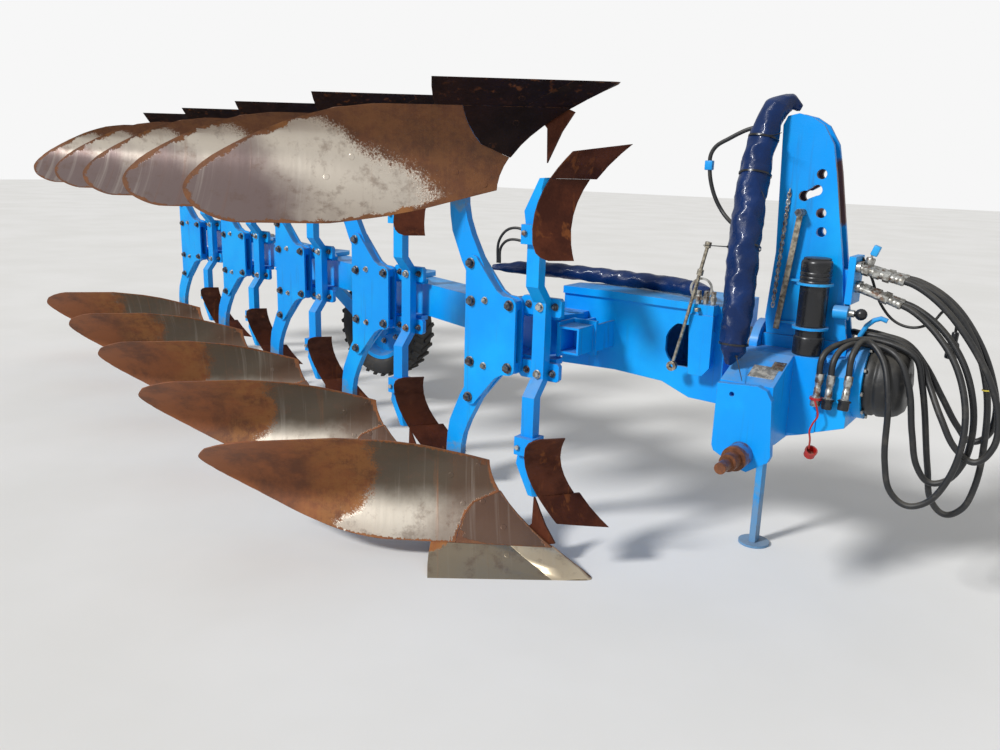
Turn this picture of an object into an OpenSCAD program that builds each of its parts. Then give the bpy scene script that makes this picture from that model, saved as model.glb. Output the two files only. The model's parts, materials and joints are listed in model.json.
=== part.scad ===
// Five-furrow fully mounted reversible moldboard plough, standing on its lower
// bodies and its parking stand. X points forward, to the tractor, Y to the left
// and Z up. Lengths are millimetres and angles are degrees. The lower and upper
// bodies are mirror images about the level of the turnover shaft.

/* [Layout] */
// Number of furrows, each with a lower and an upper body
bodies = 5; // [3:1:5]
// Distance between one body and the next, along the direction of travel
pitch_x = 900; // [850:10:1000]
// Furrow width, the sideways step from one body to the next
pitch_y = 339; // [300:1:400]
// Height of the turnover shaft above the ground
mid_z = 850; // [830:5:900]
// Sideways place of the turnover shaft from the first carrier's outer face
axis_y = 500; // [490:1:520]

/* [Plough body] */
// Height of the moldboard's top edge
top_z = 470; // [450:1:480]
// Land side of the body, measured from the carrier's outer face
land_y = 70; // [65:1:75]
// Height of the joint between share and moldboard
share_z = 75; // [65:1:85]
// Length of the share along its cutting edge, from the point's tip
share_l = 600; // [560:1:640]
// Length of the share point along the cutting edge
point_l = 154; // [130:1:180]
// Thickness of the moldboard and the shin piece
board_t = 8; // [6:1:10]
// Thickness of the share
share_t = 11; // [8:1:14]
// Thickness of the share point
point_t = 14; // [10:1:18]
// Open joint between neighbouring wearing parts
seam = 0.6; // [0.3:0.1:1]
// Thickness of the landside
landside_t = 12; // [8:1:16]
// Length of the landside behind the moldboard's front edge
landside_l = 420; // [350:5:480]

/* [Carriers and shanks] */
// Thickness of a carrier plate
carrier_t = 12; // [10:1:16]
// Thickness of a shank, which is the gap between the carrier plates
shank_t = 30; // [25:1:35]
// Height of the outer carrier bolts above and below the shaft
shear_bolt_h = 246; // [235:1:255]
// Height of the inner carrier bolts above and below the shaft
pivot_bolt_h = 112; // [105:1:118]
// Thickness of the yoke plates above and below the beam
yoke_t = 20; // [16:1:24]
// Diameter of the upright pins that carry the bodies on the beam
king_pin_d = 46; // [40:1:50]

/* [Skimmers] */
// Width of the skimmer stalk along the direction of travel
stalk_w = 50; // [45:1:55]
// Thickness of the skimmer stalk
stalk_t = 40; // [32:1:44]
// Thickness of the skimmer's board and share
skimmer_t = 7; // [5:1:9]

/* [Beam and frame head] */
// Height of the main beam's square tube
beam_h = 140; // [130:1:150]
// Width of the main beam's square tube
beam_w = 150; // [140:1:160]
// Wall of the main beam
beam_wall = 10; // [8:1:12]
// Near face of the frame head, from the first carrier's outer face
head_y = 330; // [325:1:340]
// Wall of the frame head
head_wall = 14; // [10:1:16]

/* [Depth wheel] */
// Outer diameter of the tyre
tyre_d = 610; // [580:5:640]
// Width of the tyre
tyre_w = 190; // [180:5:200]
// Outer diameter of the rim
rim_d = 400; // [380:5:420]

/* [Headstock] */
// Distance from the centre plane to the outer face of a side plate
side_y = 365; // [355:1:375]
// Thickness of a side plate
side_t = 25; // [20:1:30]
// Height of the lower link axle above the ground
link_z = 564; // [550:1:580]
// Diameter of the lower link pins
link_pin_d = 36.6; // [36:0.1:37]
// Length of the lower link pins outside their shoulders
link_pin_l = 62; // [55:1:70]
// Free width between the tower plates for the top link
tower_gap = 54; // [52:1:60]
// Thickness of a tower plate
tower_t = 15; // [12:1:18]
// Diameter of the top link holes
top_hole_d = 32; // [31.8:0.1:32.5]
// Outer diameter of the document tube
tube_d = 98; // [90:1:100]
// Width of the parking stand's leg
leg_w = 50; // [45:1:60]
// Diameter of the parking stand's foot
foot_d = 120; // [100:5:140]

/* [Hidden] */
$fn = 48;

// Ends of the whole plough, from which its centre is found
nose_end_x = 1395;
board_reach = 1083;
wing_angle = 40.6;
wing_z = 368;
wheel_x = -1700;
wheel_y = 1420;
wheel_z = 460;

// Soil-facing surface of a plough body. It is drawn by level straight lines that
// start on the front edge and run back at an angle that changes with height.
// Both curves are cubics of the height, given by their four control values.
shin_x = [527, 102, -9, 91];
rule_a = [36, 23.5, 34.6, 46.9];
function bern(s, c) = c[0] * pow(1 - s, 3) + 3 * c[1] * s * pow(1 - s, 2)
    + 3 * c[2] * s * s * (1 - s) + c[3] * pow(s, 3);
function dbern(s, c) = 3 * ((c[1] - c[0]) * pow(1 - s, 2)
    + 2 * (c[2] - c[1]) * s * (1 - s) + (c[3] - c[2]) * s * s);
curve_z = 460;
function shin(z) = bern(z / curve_z, shin_x);
function ang(z) = bern(z / curve_z, rule_a);
// Point of the surface at height z, at distance t along the level line
function face(z, t) = [shin(z) - t * cos(ang(z)), land_y - t * sin(ang(z)), z];
// How far the surface leans, as forward travel for each millimetre of height
function lean(z, t) = dbern(z / curve_z, shin_x) / curve_z * sin(ang(z))
    + t * dbern(z / curve_z, rule_a) / curve_z * PI / 180;
// Point of the hidden side, level with its soil-facing point
function rear(z, t, thick) = face(z, t)
    + thick * sqrt(1 + pow(lean(z, t), 2)) * [-sin(ang(z)), cos(ang(z)), 0];

// Closed plate on that surface: for each height, from and to along the level line
module ruled_plate(heights, starts, ends, cols, thick) {
    rows = len(heights);
    front = [for (i = [0:rows - 1]) for (j = [0:cols])
        face(heights[i], starts[i] + (ends[i] - starts[i]) * j / cols)];
    back = [for (i = [0:rows - 1]) for (j = [0:cols])
        rear(heights[i], starts[i] + (ends[i] - starts[i]) * j / cols, thick)];
    closed_plate(concat(front, back), rows, cols);
}

// Skin over two grids of points, a front one and a back one
module closed_plate(points, rows, cols) {
    w = cols + 1;
    n = rows * w;
    sheet = [for (i = [0:rows - 2]) for (j = [0:cols - 1]) each [
        [i * w + j, (i + 1) * w + j + 1, (i + 1) * w + j],
        [i * w + j, i * w + j + 1, (i + 1) * w + j + 1],
        [n + i * w + j, n + (i + 1) * w + j, n + (i + 1) * w + j + 1],
        [n + i * w + j, n + (i + 1) * w + j + 1, n + i * w + j + 1]]];
    sides = [for (i = [0:rows - 2]) each [
        [i * w, n + (i + 1) * w, n + i * w],
        [i * w, (i + 1) * w, n + (i + 1) * w],
        [i * w + cols, n + i * w + cols, n + (i + 1) * w + cols],
        [i * w + cols, n + (i + 1) * w + cols, (i + 1) * w + cols]]];
    last = (rows - 1) * w;
    ends = [for (j = [0:cols - 1]) each [
        [j, n + j, n + j + 1],
        [j, n + j + 1, j + 1],
        [last + j, n + last + j + 1, n + last + j],
        [last + j, last + j + 1, n + last + j + 1]]];
    polyhedron(points, concat(sheet, sides, ends), convexity = 6);
}

// Outline of the moldboard, as [height, distance along the level line]
board_front = [[75, 357], [195, 137], [237, 4], [350, 4], [380, 116], [437, 341], [470, 610]];
board_back = [[75, 655], [87, 762], [133, 876], [200, 975], [267, 1046], [330, 1078],
    [368, 1083], [420, 1050], [457, 989], [470, 930]];
board_rows = [75, 90, 110, 133, 165, 195, 237, 267, 300, 330, 350, 368, 395, 420, 445, 462, 470];
shin_seam = [[75, 357], [195, 137], [237, 4]];

// Radial play of pins and shafts
shaft_clear = 0.06;
// Gap left where a part seats on a curved face
seat = 0.4;
// Lower end of the shank, below the shaft
shank_h = 560;

// Places of the carriers, from the first carrier's outer face
shank_y0 = carrier_t;
far_y0 = carrier_t + shank_t;
far_y1 = far_y0 + carrier_t;
plate_back = -25;
plate_front = 198;

// The beam's centre line passes the first upright pin
pin_x = 85;
pin_y = 280;
row_angle = atan(pitch_y / pitch_x);
row_step = sqrt(pitch_x * pitch_x + pitch_y * pitch_y);
beam_front = 205;
beam_tail = 150;
beam_half = beam_h / 2;

// Skimmer stalk and its face towards the furrow
stalk_x = 281;
stalk_y0 = 17;
stalk_shift = 52;
stalk_end_h = 390;
stalk_y1 = stalk_y0 + stalk_t;
skimmer_tip_z = 185;
skimmer_seam_z = 300;
skimmer_top_z = 553;
function through(z, p) =
    p[0][1] * (z - p[1][0]) * (z - p[2][0]) / ((p[0][0] - p[1][0]) * (p[0][0] - p[2][0]))
    + p[1][1] * (z - p[0][0]) * (z - p[2][0]) / ((p[1][0] - p[0][0]) * (p[1][0] - p[2][0]))
    + p[2][1] * (z - p[0][0]) * (z - p[1][0]) / ((p[2][0] - p[0][0]) * (p[2][0] - p[1][0]));
// Front and rear edges of the skimmer, each as [height, x] and [height, y]
skim_board_x = [[293, 414], [400, 391], [553, 455]];
skim_board_y = [[293, 97], [400, 35], [553, -64]];
skim_share_x = [[185, 535], [240, 478], [293, 434]];
skim_share_y = [[185, 140], [240, 120], [293, 106]];
skim_rear_x = [[185, 437], [309, 325], [553, 372]];
skim_rear_y = [[185, -8], [309, -25], [553, -160]];

// Centre of the whole plough seen from above
tail_x = -(bodies - 1) * pitch_x + face(wing_z, board_reach)[0];
front_y = face(457, 989)[1];
wheel_out_y = wheel_y + tyre_w / 2;
rear_y = (bodies - 1) * pitch_y + pin_y + beam_w / 2 / cos(row_angle) + 60;
mid_x = (nose_end_x + tail_x) / 2;
mid_y = (max(rear_y, wheel_out_y) + front_y) / 2;

// Moves the plough so that its centre stands over the origin
module placed() {
    translate([-mid_x, -mid_y, 0])
        children();
}

// One copy for each furrow
module each_body() {
    for (i = [0:bodies - 1])
        translate([-i * pitch_x, i * pitch_y, 0])
            children();
}

// The mirror image above the turnover shaft
module turned_up() {
    translate([0, 0, 2 * mid_z])
        mirror([0, 0, 1])
            children();
}

module both_ways() {
    children();
    turned_up()
        children();
}

// Extrudes an outline drawn as [x, height over the shaft] to a plate across Y
module upright(y0, thick) {
    translate([0, y0 + thick, mid_z])
        rotate([90, 0, 0])
            linear_extrude(thick)
                children();
}

// Extrudes an outline drawn as [x, height over the ground]
module upright_z(y0, thick) {
    translate([0, y0 + thick, 0])
        rotate([90, 0, 0])
            linear_extrude(thick)
                children();
}

module moldboard() {
    starts = [for (z = board_rows) lookup(z, board_front) + seam];
    ends = [for (z = board_rows) lookup(z, board_back)];
    heights = [for (z = board_rows) z == share_z ? z + seam : z];
    ruled_plate(heights, starts, ends, 8, board_t);
}

module shin_piece() {
    rows = [75, 90, 110, 133, 165, 195, 237];
    starts = [for (z = rows) 0];
    ends = [for (z = rows) max(lookup(z, shin_seam) - seam, 3)];
    heights = [for (z = rows) z == share_z ? z + seam : z];
    ruled_plate(heights, starts, ends, 3, board_t);
}

share_rear = [[0, share_l], [share_z, share_l - 150]];

module share() {
    rows = [0, share_z / 3, share_z * 2 / 3, share_z];
    starts = [for (z = rows) point_l + seam];
    ends = [for (z = rows) lookup(z, share_rear)];
    ruled_plate(rows, starts, ends, 3, share_t);
}

module share_point() {
    rows = [0, share_z / 3, share_z * 2 / 3, share_z];
    starts = [for (z = rows) 0];
    ends = [for (z = rows) point_l];
    ruled_plate(rows, starts, ends, 2, point_t);
}

module moldboards_lower() {
    color("slategray")
        placed()
            each_body()
                moldboard();
}

module moldboards_upper() {
    color("sienna")
        placed()
            each_body()
                turned_up()
                    moldboard();
}

module shins_lower() {
    color("dimgray")
        placed()
            each_body()
                shin_piece();
}

module shins_upper() {
    color("saddlebrown")
        placed()
            each_body()
                turned_up()
                    shin_piece();
}

module shares_lower() {
    color("gray")
        placed()
            each_body()
                share();
}

module shares_upper() {
    color([0.17, 0.08, 0.06])
        placed()
            each_body()
                turned_up()
                    share();
}

module points_lower() {
    color("silver")
        placed()
            each_body()
                share_point();
}

module points_upper() {
    color([0.2, 0.1, 0.07])
        placed()
            each_body()
                turned_up()
                    share_point();
}

// Upright blade beside the shin that cuts the furrow wall, on a pad of the landside
knife_t = 8;
knife_gap = 11;
module land_knives() {
    color("peru")
        placed()
            each_body()
                both_ways() {
                    upright_z(land_y + knife_gap, knife_t)
                        polygon([[247, 252], [243, 140], [205, 100], [205, 40], [314, 40],
                            [320, 78], [346, 88], [300, 150]]);
                    upright_z(land_y, knife_gap)
                        polygon([[205, 42], [300, 42], [262, 92], [205, 98]]);
                }
}

// Landside with its heel, behind the point
module landsides() {
    color("slategray")
        placed()
            each_body()
                both_ways()
                    upright_z(land_y - landside_t, landside_t)
                        polygon([[300 - landside_l, 0], [345, 0], [300, 50], [215, 110],
                            [300 - landside_l, 110]]);
}

// Space on the soil side of the body's plates, from which their carriers are cut back
module soil_side(clear) {
    steps = [-330, 20, 150];
    for (zone = [[[-20, 0, 25, 50, share_z + seam], point_t],
            [[share_z + seam, 90, 110, 133, 165, 195, 237, 267, 300], board_t]]) {
        rows = zone[0];
        front = [for (z = rows) for (t = steps) rear(z, t, -400)];
        back = [for (z = rows) for (t = steps) rear(z, t, zone[1] + clear)];
        closed_plate(concat(front, back), len(rows), len(steps) - 1);
    }
}

// Cast frog that carries moldboard, share and landside on the shank
frog_t = land_y - landside_t - shank_y0;
module frogs() {
    color("steelblue")
        placed()
            each_body()
                both_ways()
                    difference() {
                        upright_z(shank_y0, frog_t)
                            polygon([[-110, mid_z - shank_h], [-110, 165], [-70, 40],
                                [-50, 22], [330, 22], [330, 120], [150, mid_z - shank_h]]);
                        soil_side(4 * seat);
                    }
}

// Stay between the frog's heel and the moldboard's wing
stay_z = 250;
stay_t = 650;
module rod(a, b, d) {
    v = b - a;
    translate(a)
        rotate([0, acos(v[2] / norm(v)), atan2(v[1], v[0])])
            cylinder(h = norm(v), d = d);
}

module board_stays() {
    wing = rear(stay_z, stay_t, board_t + 2 * seat);
    heel = [-80, shank_y0 - 26, 190];
    normal = rear(stay_z, stay_t, 1) - rear(stay_z, stay_t, 0);
    color("steelblue")
        placed()
            each_body()
                both_ways() {
                    translate([heel[0], shank_y0, heel[2]])
                        rotate([90, 0, 0])
                            cylinder(h = 44, d = 44);
                    rod(heel, wing + 16 * normal, 30);
                    rod(wing, wing + 22 * normal, 70);
                }
}

// Curved leg between the carrier plates
module shank_profile() {
    polygon([[plate_back, 95], [185, 95], [188, 128], [150, 136], [112, 152], [82, 186],
        [50, 232], [18, 292], [-10, 345], [-32, 400], [-42, 450], [-45, shank_h],
        [-110, shank_h], [-112, 470], [-108, 410], [-98, 353], [-53, 249],
        [plate_back, 200]]);
}

module shanks() {
    color("deepskyblue")
        placed()
            each_body()
                both_ways()
                    translate([0, 0, 2 * mid_z])
                        mirror([0, 0, 1])
                            upright(shank_y0, shank_t)
                                shank_profile();
}

// Outline of a carrier plate: a broad middle and two horns to the outer bolts
module carrier_outline() {
    horn_r = 28;
    bolt_x = 3;
    lobe_x = 166;
    translate([plate_back, -pivot_bolt_h])
        square([plate_front - plate_back - 4, 2 * pivot_bolt_h]);
    for (side = [-1, 1]) {
        translate([bolt_x, side * shear_bolt_h])
            circle(horn_r);
        translate([lobe_x, side * pivot_bolt_h])
            circle(horn_r);
        polygon([[plate_back, 0], [plate_back, side * shear_bolt_h],
            [bolt_x + 24, side * (shear_bolt_h + 14)], [82, side * 193],
            [112, side * 158], [140, side * 142], [lobe_x, side * (pivot_bolt_h + horn_r)],
            [lobe_x, 0]]);
    }
}

module carriers_near() {
    color("dodgerblue")
        placed()
            each_body()
                upright(0, carrier_t)
                    carrier_outline();
}

module carriers_far() {
    color("dodgerblue")
        placed()
            each_body()
                upright(far_y0, carrier_t)
                    carrier_outline();
}

// Level plates above and below the beam
yoke_y1 = pin_y + beam_w / 2 + 35;
arm_h = 118;
module yoke_plate() {
    difference() {
        union() {
            translate([0, 0, beam_half])
                linear_extrude(yoke_t)
                    polygon([[-20, far_y1], [185, far_y1], [185, stalk_y1 + bracket_t],
                        [320, stalk_y1 + bracket_t], [320, 120], [190, 230],
                        [175, yoke_y1 - 40], [140, yoke_y1], [20, yoke_y1],
                        [-15, yoke_y1 - 50]]);
            for (x = [-14, 150])
                translate([x, far_y1 + 20, beam_half + yoke_t - 1])
                    cube([14, 110, 26]);
        }
        translate([pin_x, pin_y, beam_half - 1])
            cylinder(h = yoke_t + 2, d = king_pin_d + 2 * shaft_clear);
    }
}

// Upright plate that clamps the skimmer stalk, on the front of each yoke
bracket_t = 20;
module skimmer_bracket() {
    difference() {
        upright(stalk_y1, bracket_t)
            polygon([[178, -90], [185, -82], [338, -82], [345, -90],
                [345, -138], [336, -147], [190, -147], [178, -136]]);
        for (bolt = [[211, 20], [stalk_x, 22], [319, 20]])
            translate([bolt[0], stalk_y1 - 1, mid_z - arm_h])
                rotate([-90, 0, 0])
                    cylinder(h = bracket_t + 2, d = bolt[1]);
    }
}

module yokes() {
    color("dodgerblue")
        placed()
            each_body()
                for (side = [0, 1])
                    translate([0, 0, mid_z])
                        mirror([0, 0, side]) {
                            yoke_plate();
                            translate([0, 0, -mid_z])
                                turned_up()
                                    skimmer_bracket();
                        }
}

module king_pins() {
    head_h = 14;
    color("silver")
        placed()
            each_body()
                translate([pin_x, pin_y, mid_z - beam_half - yoke_t - head_h]) {
                    cylinder(h = head_h, d = king_pin_d + 24);
                    cylinder(h = beam_h + 2 * yoke_t + 2 * head_h, d = king_pin_d);
                    translate([0, 0, beam_h + 2 * yoke_t + head_h])
                        cylinder(h = head_h, d = king_pin_d + 24);
                }
}

// Skimmer stalk: one flat bar from the lower to the upper skimmer
module skimmer_stalks() {
    far = stalk_y0 - stalk_shift;
    near = [[stalk_y0, 0], [stalk_y0, 133], [far, 192], [far, stalk_end_h]];
    back = [[far + stalk_t, stalk_end_h], [far + stalk_t, 195], [stalk_y1, 136], [stalk_y1, 0]];
    color("deepskyblue")
        placed()
            each_body()
                translate([stalk_x - stalk_w / 2, 0, mid_z])
                    rotate([90, 0, 90])
                        linear_extrude(stalk_w)
                            for (side = [-1, 1])
                                polygon([for (p = concat(near, back)) [p[0], side * p[1]]]);
}

// Play of a bar in its sleeve
fit = 0.3;

// Sleeve round the stalk's end with the slanted leg of the skimmer
module skimmer_holder() {
    wall = 13;
    low = stalk_end_h + 10;
    top = stalk_end_h - 55;
    y0 = stalk_y0 - stalk_shift;
    difference() {
        translate([stalk_x - stalk_w / 2 - wall, y0 - wall - 8, mid_z - low])
            cube([stalk_w + 2 * wall, stalk_t + 2 * wall + 8, low - top]);
        translate([stalk_x - stalk_w / 2 - fit, y0 - fit, mid_z - stalk_end_h - fit])
            cube([stalk_w + 2 * fit, stalk_t + 2 * fit, 80]);
    }
    difference() {
        upright_z(y0 + 4, 34)
            polygon([[stalk_x - 37, mid_z - low + 1], [stalk_x - 44, 408], [292, 300],
                [345, 296], [372, 360], [345, 410], [stalk_x + 37, mid_z - low + 1]]);
        skimmer_space(seat);
    }
}

module skimmer_holders() {
    color("dodgerblue")
        placed()
            each_body()
                both_ways()
                    skimmer_holder();
}

// Point of the skimmer's face at height z, at fraction f from front to rear edge
function skim(z, f, fx, fy) = let (a = [through(z, fx), through(z, fy), z],
    b = [through(z, skim_rear_x), through(z, skim_rear_y), z]) a + (b - a) * f;
// The same point on the hidden side
function skim_back(z, f, fx, fy, thick) = let (d = skim(z, 1, fx, fy) - skim(z, 0, fx, fy))
    skim(z, f, fx, fy) + [d[1], -d[0], 0] / norm(d) * thick * 1.4;

module skimmer_boards() {
    rows = [skimmer_seam_z + seam, 335, 375, 415, 460, 505, 532, 545, skimmer_top_z];
    ends = [for (z = rows) z < 510 ? 1 : z < 540 ? 0.95 : z < 550 ? 0.85 : 0.68];
    cols = 2;
    front = [for (i = [0:len(rows) - 1]) for (j = [0:cols])
        skim(rows[i], ends[i] * j / cols, skim_board_x, skim_board_y)];
    back = [for (i = [0:len(rows) - 1]) for (j = [0:cols])
        skim_back(rows[i], ends[i] * j / cols, skim_board_x, skim_board_y, skimmer_t)];
    color([0.33, 0.18, 0.12])
        placed()
            each_body()
                both_ways()
                    closed_plate(concat(front, back), len(rows), cols);
}

// The cutting edge rises a little towards the rear
edge_rise = 28;
module skimmer_shares() {
    rows = [skimmer_tip_z, 215, 255, skimmer_seam_z];
    cols = 3;
    span = skimmer_seam_z - skimmer_tip_z;
    function level(z, f) = z + edge_rise * f * (skimmer_seam_z - z) / span;
    front = [for (z = rows) for (j = [0:cols])
        skim(level(z, j / cols), j / cols, skim_share_x, skim_share_y)];
    back = [for (z = rows) for (j = [0:cols])
        skim_back(level(z, j / cols), j / cols, skim_share_x, skim_share_y, skimmer_t)];
    color([0.36, 0.2, 0.13])
        placed()
            each_body()
                both_ways()
                    closed_plate(concat(front, back), len(rows), cols);
}

// Space in front of the skimmer's hidden side
module skimmer_space(clear) {
    rows = [260, skimmer_seam_z, 335, 375, 415, 460];
    steps = [-0.5, 0.5, 1, 1.6];
    front = [for (z = rows) for (f = steps)
        skim_back(z, f, skim_board_x, skim_board_y, -120)];
    back = [for (z = rows) for (f = steps)
        skim_back(z, f, skim_board_x, skim_board_y, skimmer_t + clear)];
    closed_plate(concat(front, back), len(rows), len(steps) - 1);
}

// Things that lie along the beam, from the first upright pin backwards
module along_beam() {
    translate([pin_x, pin_y, mid_z])
        rotate([0, 0, 180 - row_angle])
            children();
}

beam_l = beam_front + (bodies - 1) * row_step + beam_tail;
module main_beam() {
    color("dodgerblue")
        placed()
            along_beam()
                difference() {
                    translate([-beam_front, -beam_w / 2, -beam_half])
                        cube([beam_l, beam_w, beam_h]);
                    translate([-beam_front - 1, beam_wall - beam_w / 2, beam_wall - beam_half])
                        cube([beam_l + 2, beam_w - 2 * beam_wall, beam_h - 2 * beam_wall]);
                    for (i = [0:bodies - 1])
                        translate([i * row_step, 0, -beam_half - 1])
                            cylinder(h = beam_h + 2, d = king_pin_d + 2 * shaft_clear);
                }
}

end_plate_t = 10;
module beam_ends() {
    color("dodgerblue")
        placed()
            along_beam()
                for (x = [-beam_front - end_plate_t, beam_l - beam_front])
                    translate([x, -beam_w / 2, -beam_half])
                        cube([end_plate_t, beam_w, beam_h]);
}

// Box arm between the beam and the turnover shaft
head_x0 = 194;
head_x1 = 830;
head_far_y = 640;
module head_side_outline(inset) {
    polygon([[head_x0 + inset, 155 - inset], [420, 155 - inset], [600, 150 - inset],
        [head_x1 - inset, 146 - inset], [head_x1 - inset, inset - 192],
        [715, inset - 188], [610, inset - 146], [420, inset - 134],
        [head_x0 + inset, inset - 140]]);
}

module head_plan_outline(inset) {
    polygon([[head_x0 + inset, head_y + inset], [head_x1 - inset, head_y + inset],
        [head_x1 - inset, head_far_y - inset], [560, head_far_y - inset],
        [320, 500 - inset], [head_x0 + inset, 440 - inset]]);
}

// Strip that stands proud along the top edge of the near side
module head_flange() {
    upright(head_y - 12, 14)
        polygon([[head_x0, 155], [420, 155], [600, 150], [head_x1, 146], [head_x1, 122],
            [600, 124], [420, 128], [head_x0, 128]]);
}

// Block that joins the head to the far side of the beam
module head_foot() {
    difference() {
        translate([head_x0 + 6, pin_y - 40, mid_z - beam_half])
            cube([100, head_y - pin_y + 46, beam_h]);
        beam_solid();
    }
}

module beam_solid() {
    along_beam()
        translate([-beam_front - end_plate_t, -beam_w / 2, -beam_half])
            cube([900, beam_w, beam_h]);
}

module head_box(inset) {
    intersection() {
        upright(head_y - 10, 400)
            head_side_outline(inset);
        translate([0, 0, mid_z - 300])
            linear_extrude(600)
                head_plan_outline(inset);
    }
}

window_x = 640;
module frame_head() {
    color("dodgerblue")
        placed() {
            difference() {
                head_box(0);
                head_box(head_wall);
                upright(head_y - 20, 60)
                    intersection() {
                        translate([window_x - 25, -82])
                            square([115, 150]);
                        translate([window_x + 60, -7])
                            circle(88);
                    }
                translate([head_x1 - 60, axis_y, mid_z])
                    rotate([0, 90, 0])
                        cylinder(h = 100, d = hub_d);
            }
            head_flange();
            head_foot();
        }
}

// Turnover shaft with its disc inside the frame head
hub_d = 120;
flange_x = [886, 912];
module turn_hub() {
    color("lightsteelblue")
        placed()
            translate([700, axis_y, mid_z])
                rotate([0, 90, 0]) {
                    cylinder(h = 24, d = 250);
                    cylinder(h = flange_x[1] - 700, d = hub_d);
                }
}

// Square socket for the furrow press arm, on its bracket
socket_x = 318;
socket_w = 80;
socket_h = 96;
socket_y = 92;
socket_wall = 8;
module socket_bracket() {
    color("deepskyblue")
        placed()
            translate([socket_x, 0, mid_z]) {
                difference() {
                    translate([0, socket_y, -socket_h / 2])
                        cube([socket_w, 100, socket_h]);
                    translate([socket_wall, socket_y - 1, socket_wall - socket_h / 2])
                        cube([socket_w - 2 * socket_wall, 94, socket_h - 2 * socket_wall]);
                }
                translate([-8, socket_y, -socket_h / 2 - 14])
                    cube([8, 120, socket_h + 28]);
                translate([-8, socket_y + 100, -socket_h / 2 - 14])
                    cube([socket_w + 20, 14, socket_h + 28]);
                translate([0, socket_y + 114, -socket_h / 2])
                    cube([12, head_y - socket_y - 114, socket_h]);
                translate([socket_w, socket_y + 114, -socket_h / 2])
                    cube([12, head_y - socket_y - 114, socket_h]);
            }
}

// Hydraulic block on its bracket at the frame head
module valve_block() {
    color("dodgerblue")
        placed() {
            upright(head_y - 60, 12)
                polygon([[718, 118], [804, 118], [804, -60], [780, -90], [730, -90]]);
            translate([732, head_y - 48, mid_z - 60])
                cube([60, 48, 120]);
        }
    color("silver")
        placed()
            translate([722, head_y - 56, mid_z + 118]) {
                cube([80, 44, 34]);
                for (i = [0:2])
                    translate([14 + i * 26, 25, 34])
                        cylinder(h = 22, d = 16);
            }
}

// Smooth tube swept along a route of points, by levels of sides
function unit(v) = v / norm(v);
function mid_dir(route, i) = i == 0 ? unit(route[1] - route[0])
    : i == len(route) - 1 ? unit(route[i] - route[i - 1])
    : unit(unit(route[i + 1] - route[i]) + unit(route[i] - route[i - 1]));
function side_dir(d) = unit(cross(d, abs(d[2]) > 0.9 ? [0, 1, 0] : [0, 0, 1]));
function carried(d, s) = unit(s - (s * d) * d);
function frames(route, i = 0, s = undef, done = []) = i == len(route) ? done
    : let (d = mid_dir(route, i), e = s == undef ? side_dir(d) : carried(d, s))
    frames(route, i + 1, e, concat(done, [[e, cross(d, e)]]));

module swept_tube(route, radii, sides = 10) {
    f = frames(route);
    n = len(route);
    points = [for (i = [0:n - 1]) for (k = [0:sides - 1])
        let (a = 360 * k / sides)
        route[i] + radii[i] * (cos(a) * f[i][0] + sin(a) * f[i][1])];
    skin = [for (i = [0:n - 2]) for (k = [0:sides - 1]) let (m = (k + 1) % sides) each [
        [i * sides + k, (i + 1) * sides + m, i * sides + m],
        [i * sides + k, (i + 1) * sides + k, (i + 1) * sides + m]]];
    first = [for (k = [0:sides - 1]) k];
    final = [for (k = [0:sides - 1]) n * sides - 1 - k];
    polyhedron(points, concat(skin, [first], [final]), convexity = 8);
}

// Hose sleeve that lies along the top of the frame head and the beam
sleeve_z = mid_z + 155 + 34;
beam_sleeve_route = [[-190, 400, sleeve_z - 6], [-80, 412, sleeve_z], [60, 425, sleeve_z + 4],
    [200, 440, sleeve_z + 2], [340, 455, sleeve_z - 2], [480, 450, sleeve_z - 3],
    [600, 430, sleeve_z - 4], [690, 400, sleeve_z - 6], [760, 350, sleeve_z + 2]];
module beam_sleeve() {
    color("midnightblue")
        placed()
            swept_tube(beam_sleeve_route, [22, 28, 30, 30, 31, 31, 30, 30, 26], 12);
}

// Depth wheel behind the beam, on an arm that swings over with the plough
arm_pivot_x = -2250;
pivot_d = 60;
swing_t = 30;
wheel_drop = mid_z - wheel_z;
beam_y = pin_y - (arm_pivot_x - pin_x) * tan(row_angle);
arm_y = wheel_y - tyre_w / 2 - 20 - swing_t;
arm_pivot_y = arm_y + swing_t / 2;
clamp_t = 12;
module wheel_bracket() {
    along = (pin_x - arm_pivot_x) / cos(row_angle);
    color("dodgerblue")
        placed() {
            difference() {
                union() {
                    along_beam()
                        translate([along - 125, -beam_w / 2 - clamp_t, -beam_half - clamp_t])
                            cube([170, beam_w + clamp_t + 12, beam_h + 2 * clamp_t]);
                    translate([arm_pivot_x, beam_y, mid_z])
                        rotate([-90, 0, 0])
                            cylinder(h = arm_y - beam_y - 1, d = pivot_d + 30);
                    translate([arm_pivot_x, beam_y, mid_z])
                        rotate([-90, 0, 0])
                            cylinder(h = arm_y + swing_t + 8 - beam_y, d = pivot_d);
                }
                along_beam()
                    translate([along - 140, -beam_w / 2, -beam_half])
                        cube([260, beam_w + 50, beam_h]);
            }
            translate([arm_pivot_x, arm_y + swing_t + 1, mid_z])
                rotate([-90, 0, 0])
                    cylinder(h = 7, d = pivot_d + 24);
        }
}

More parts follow.
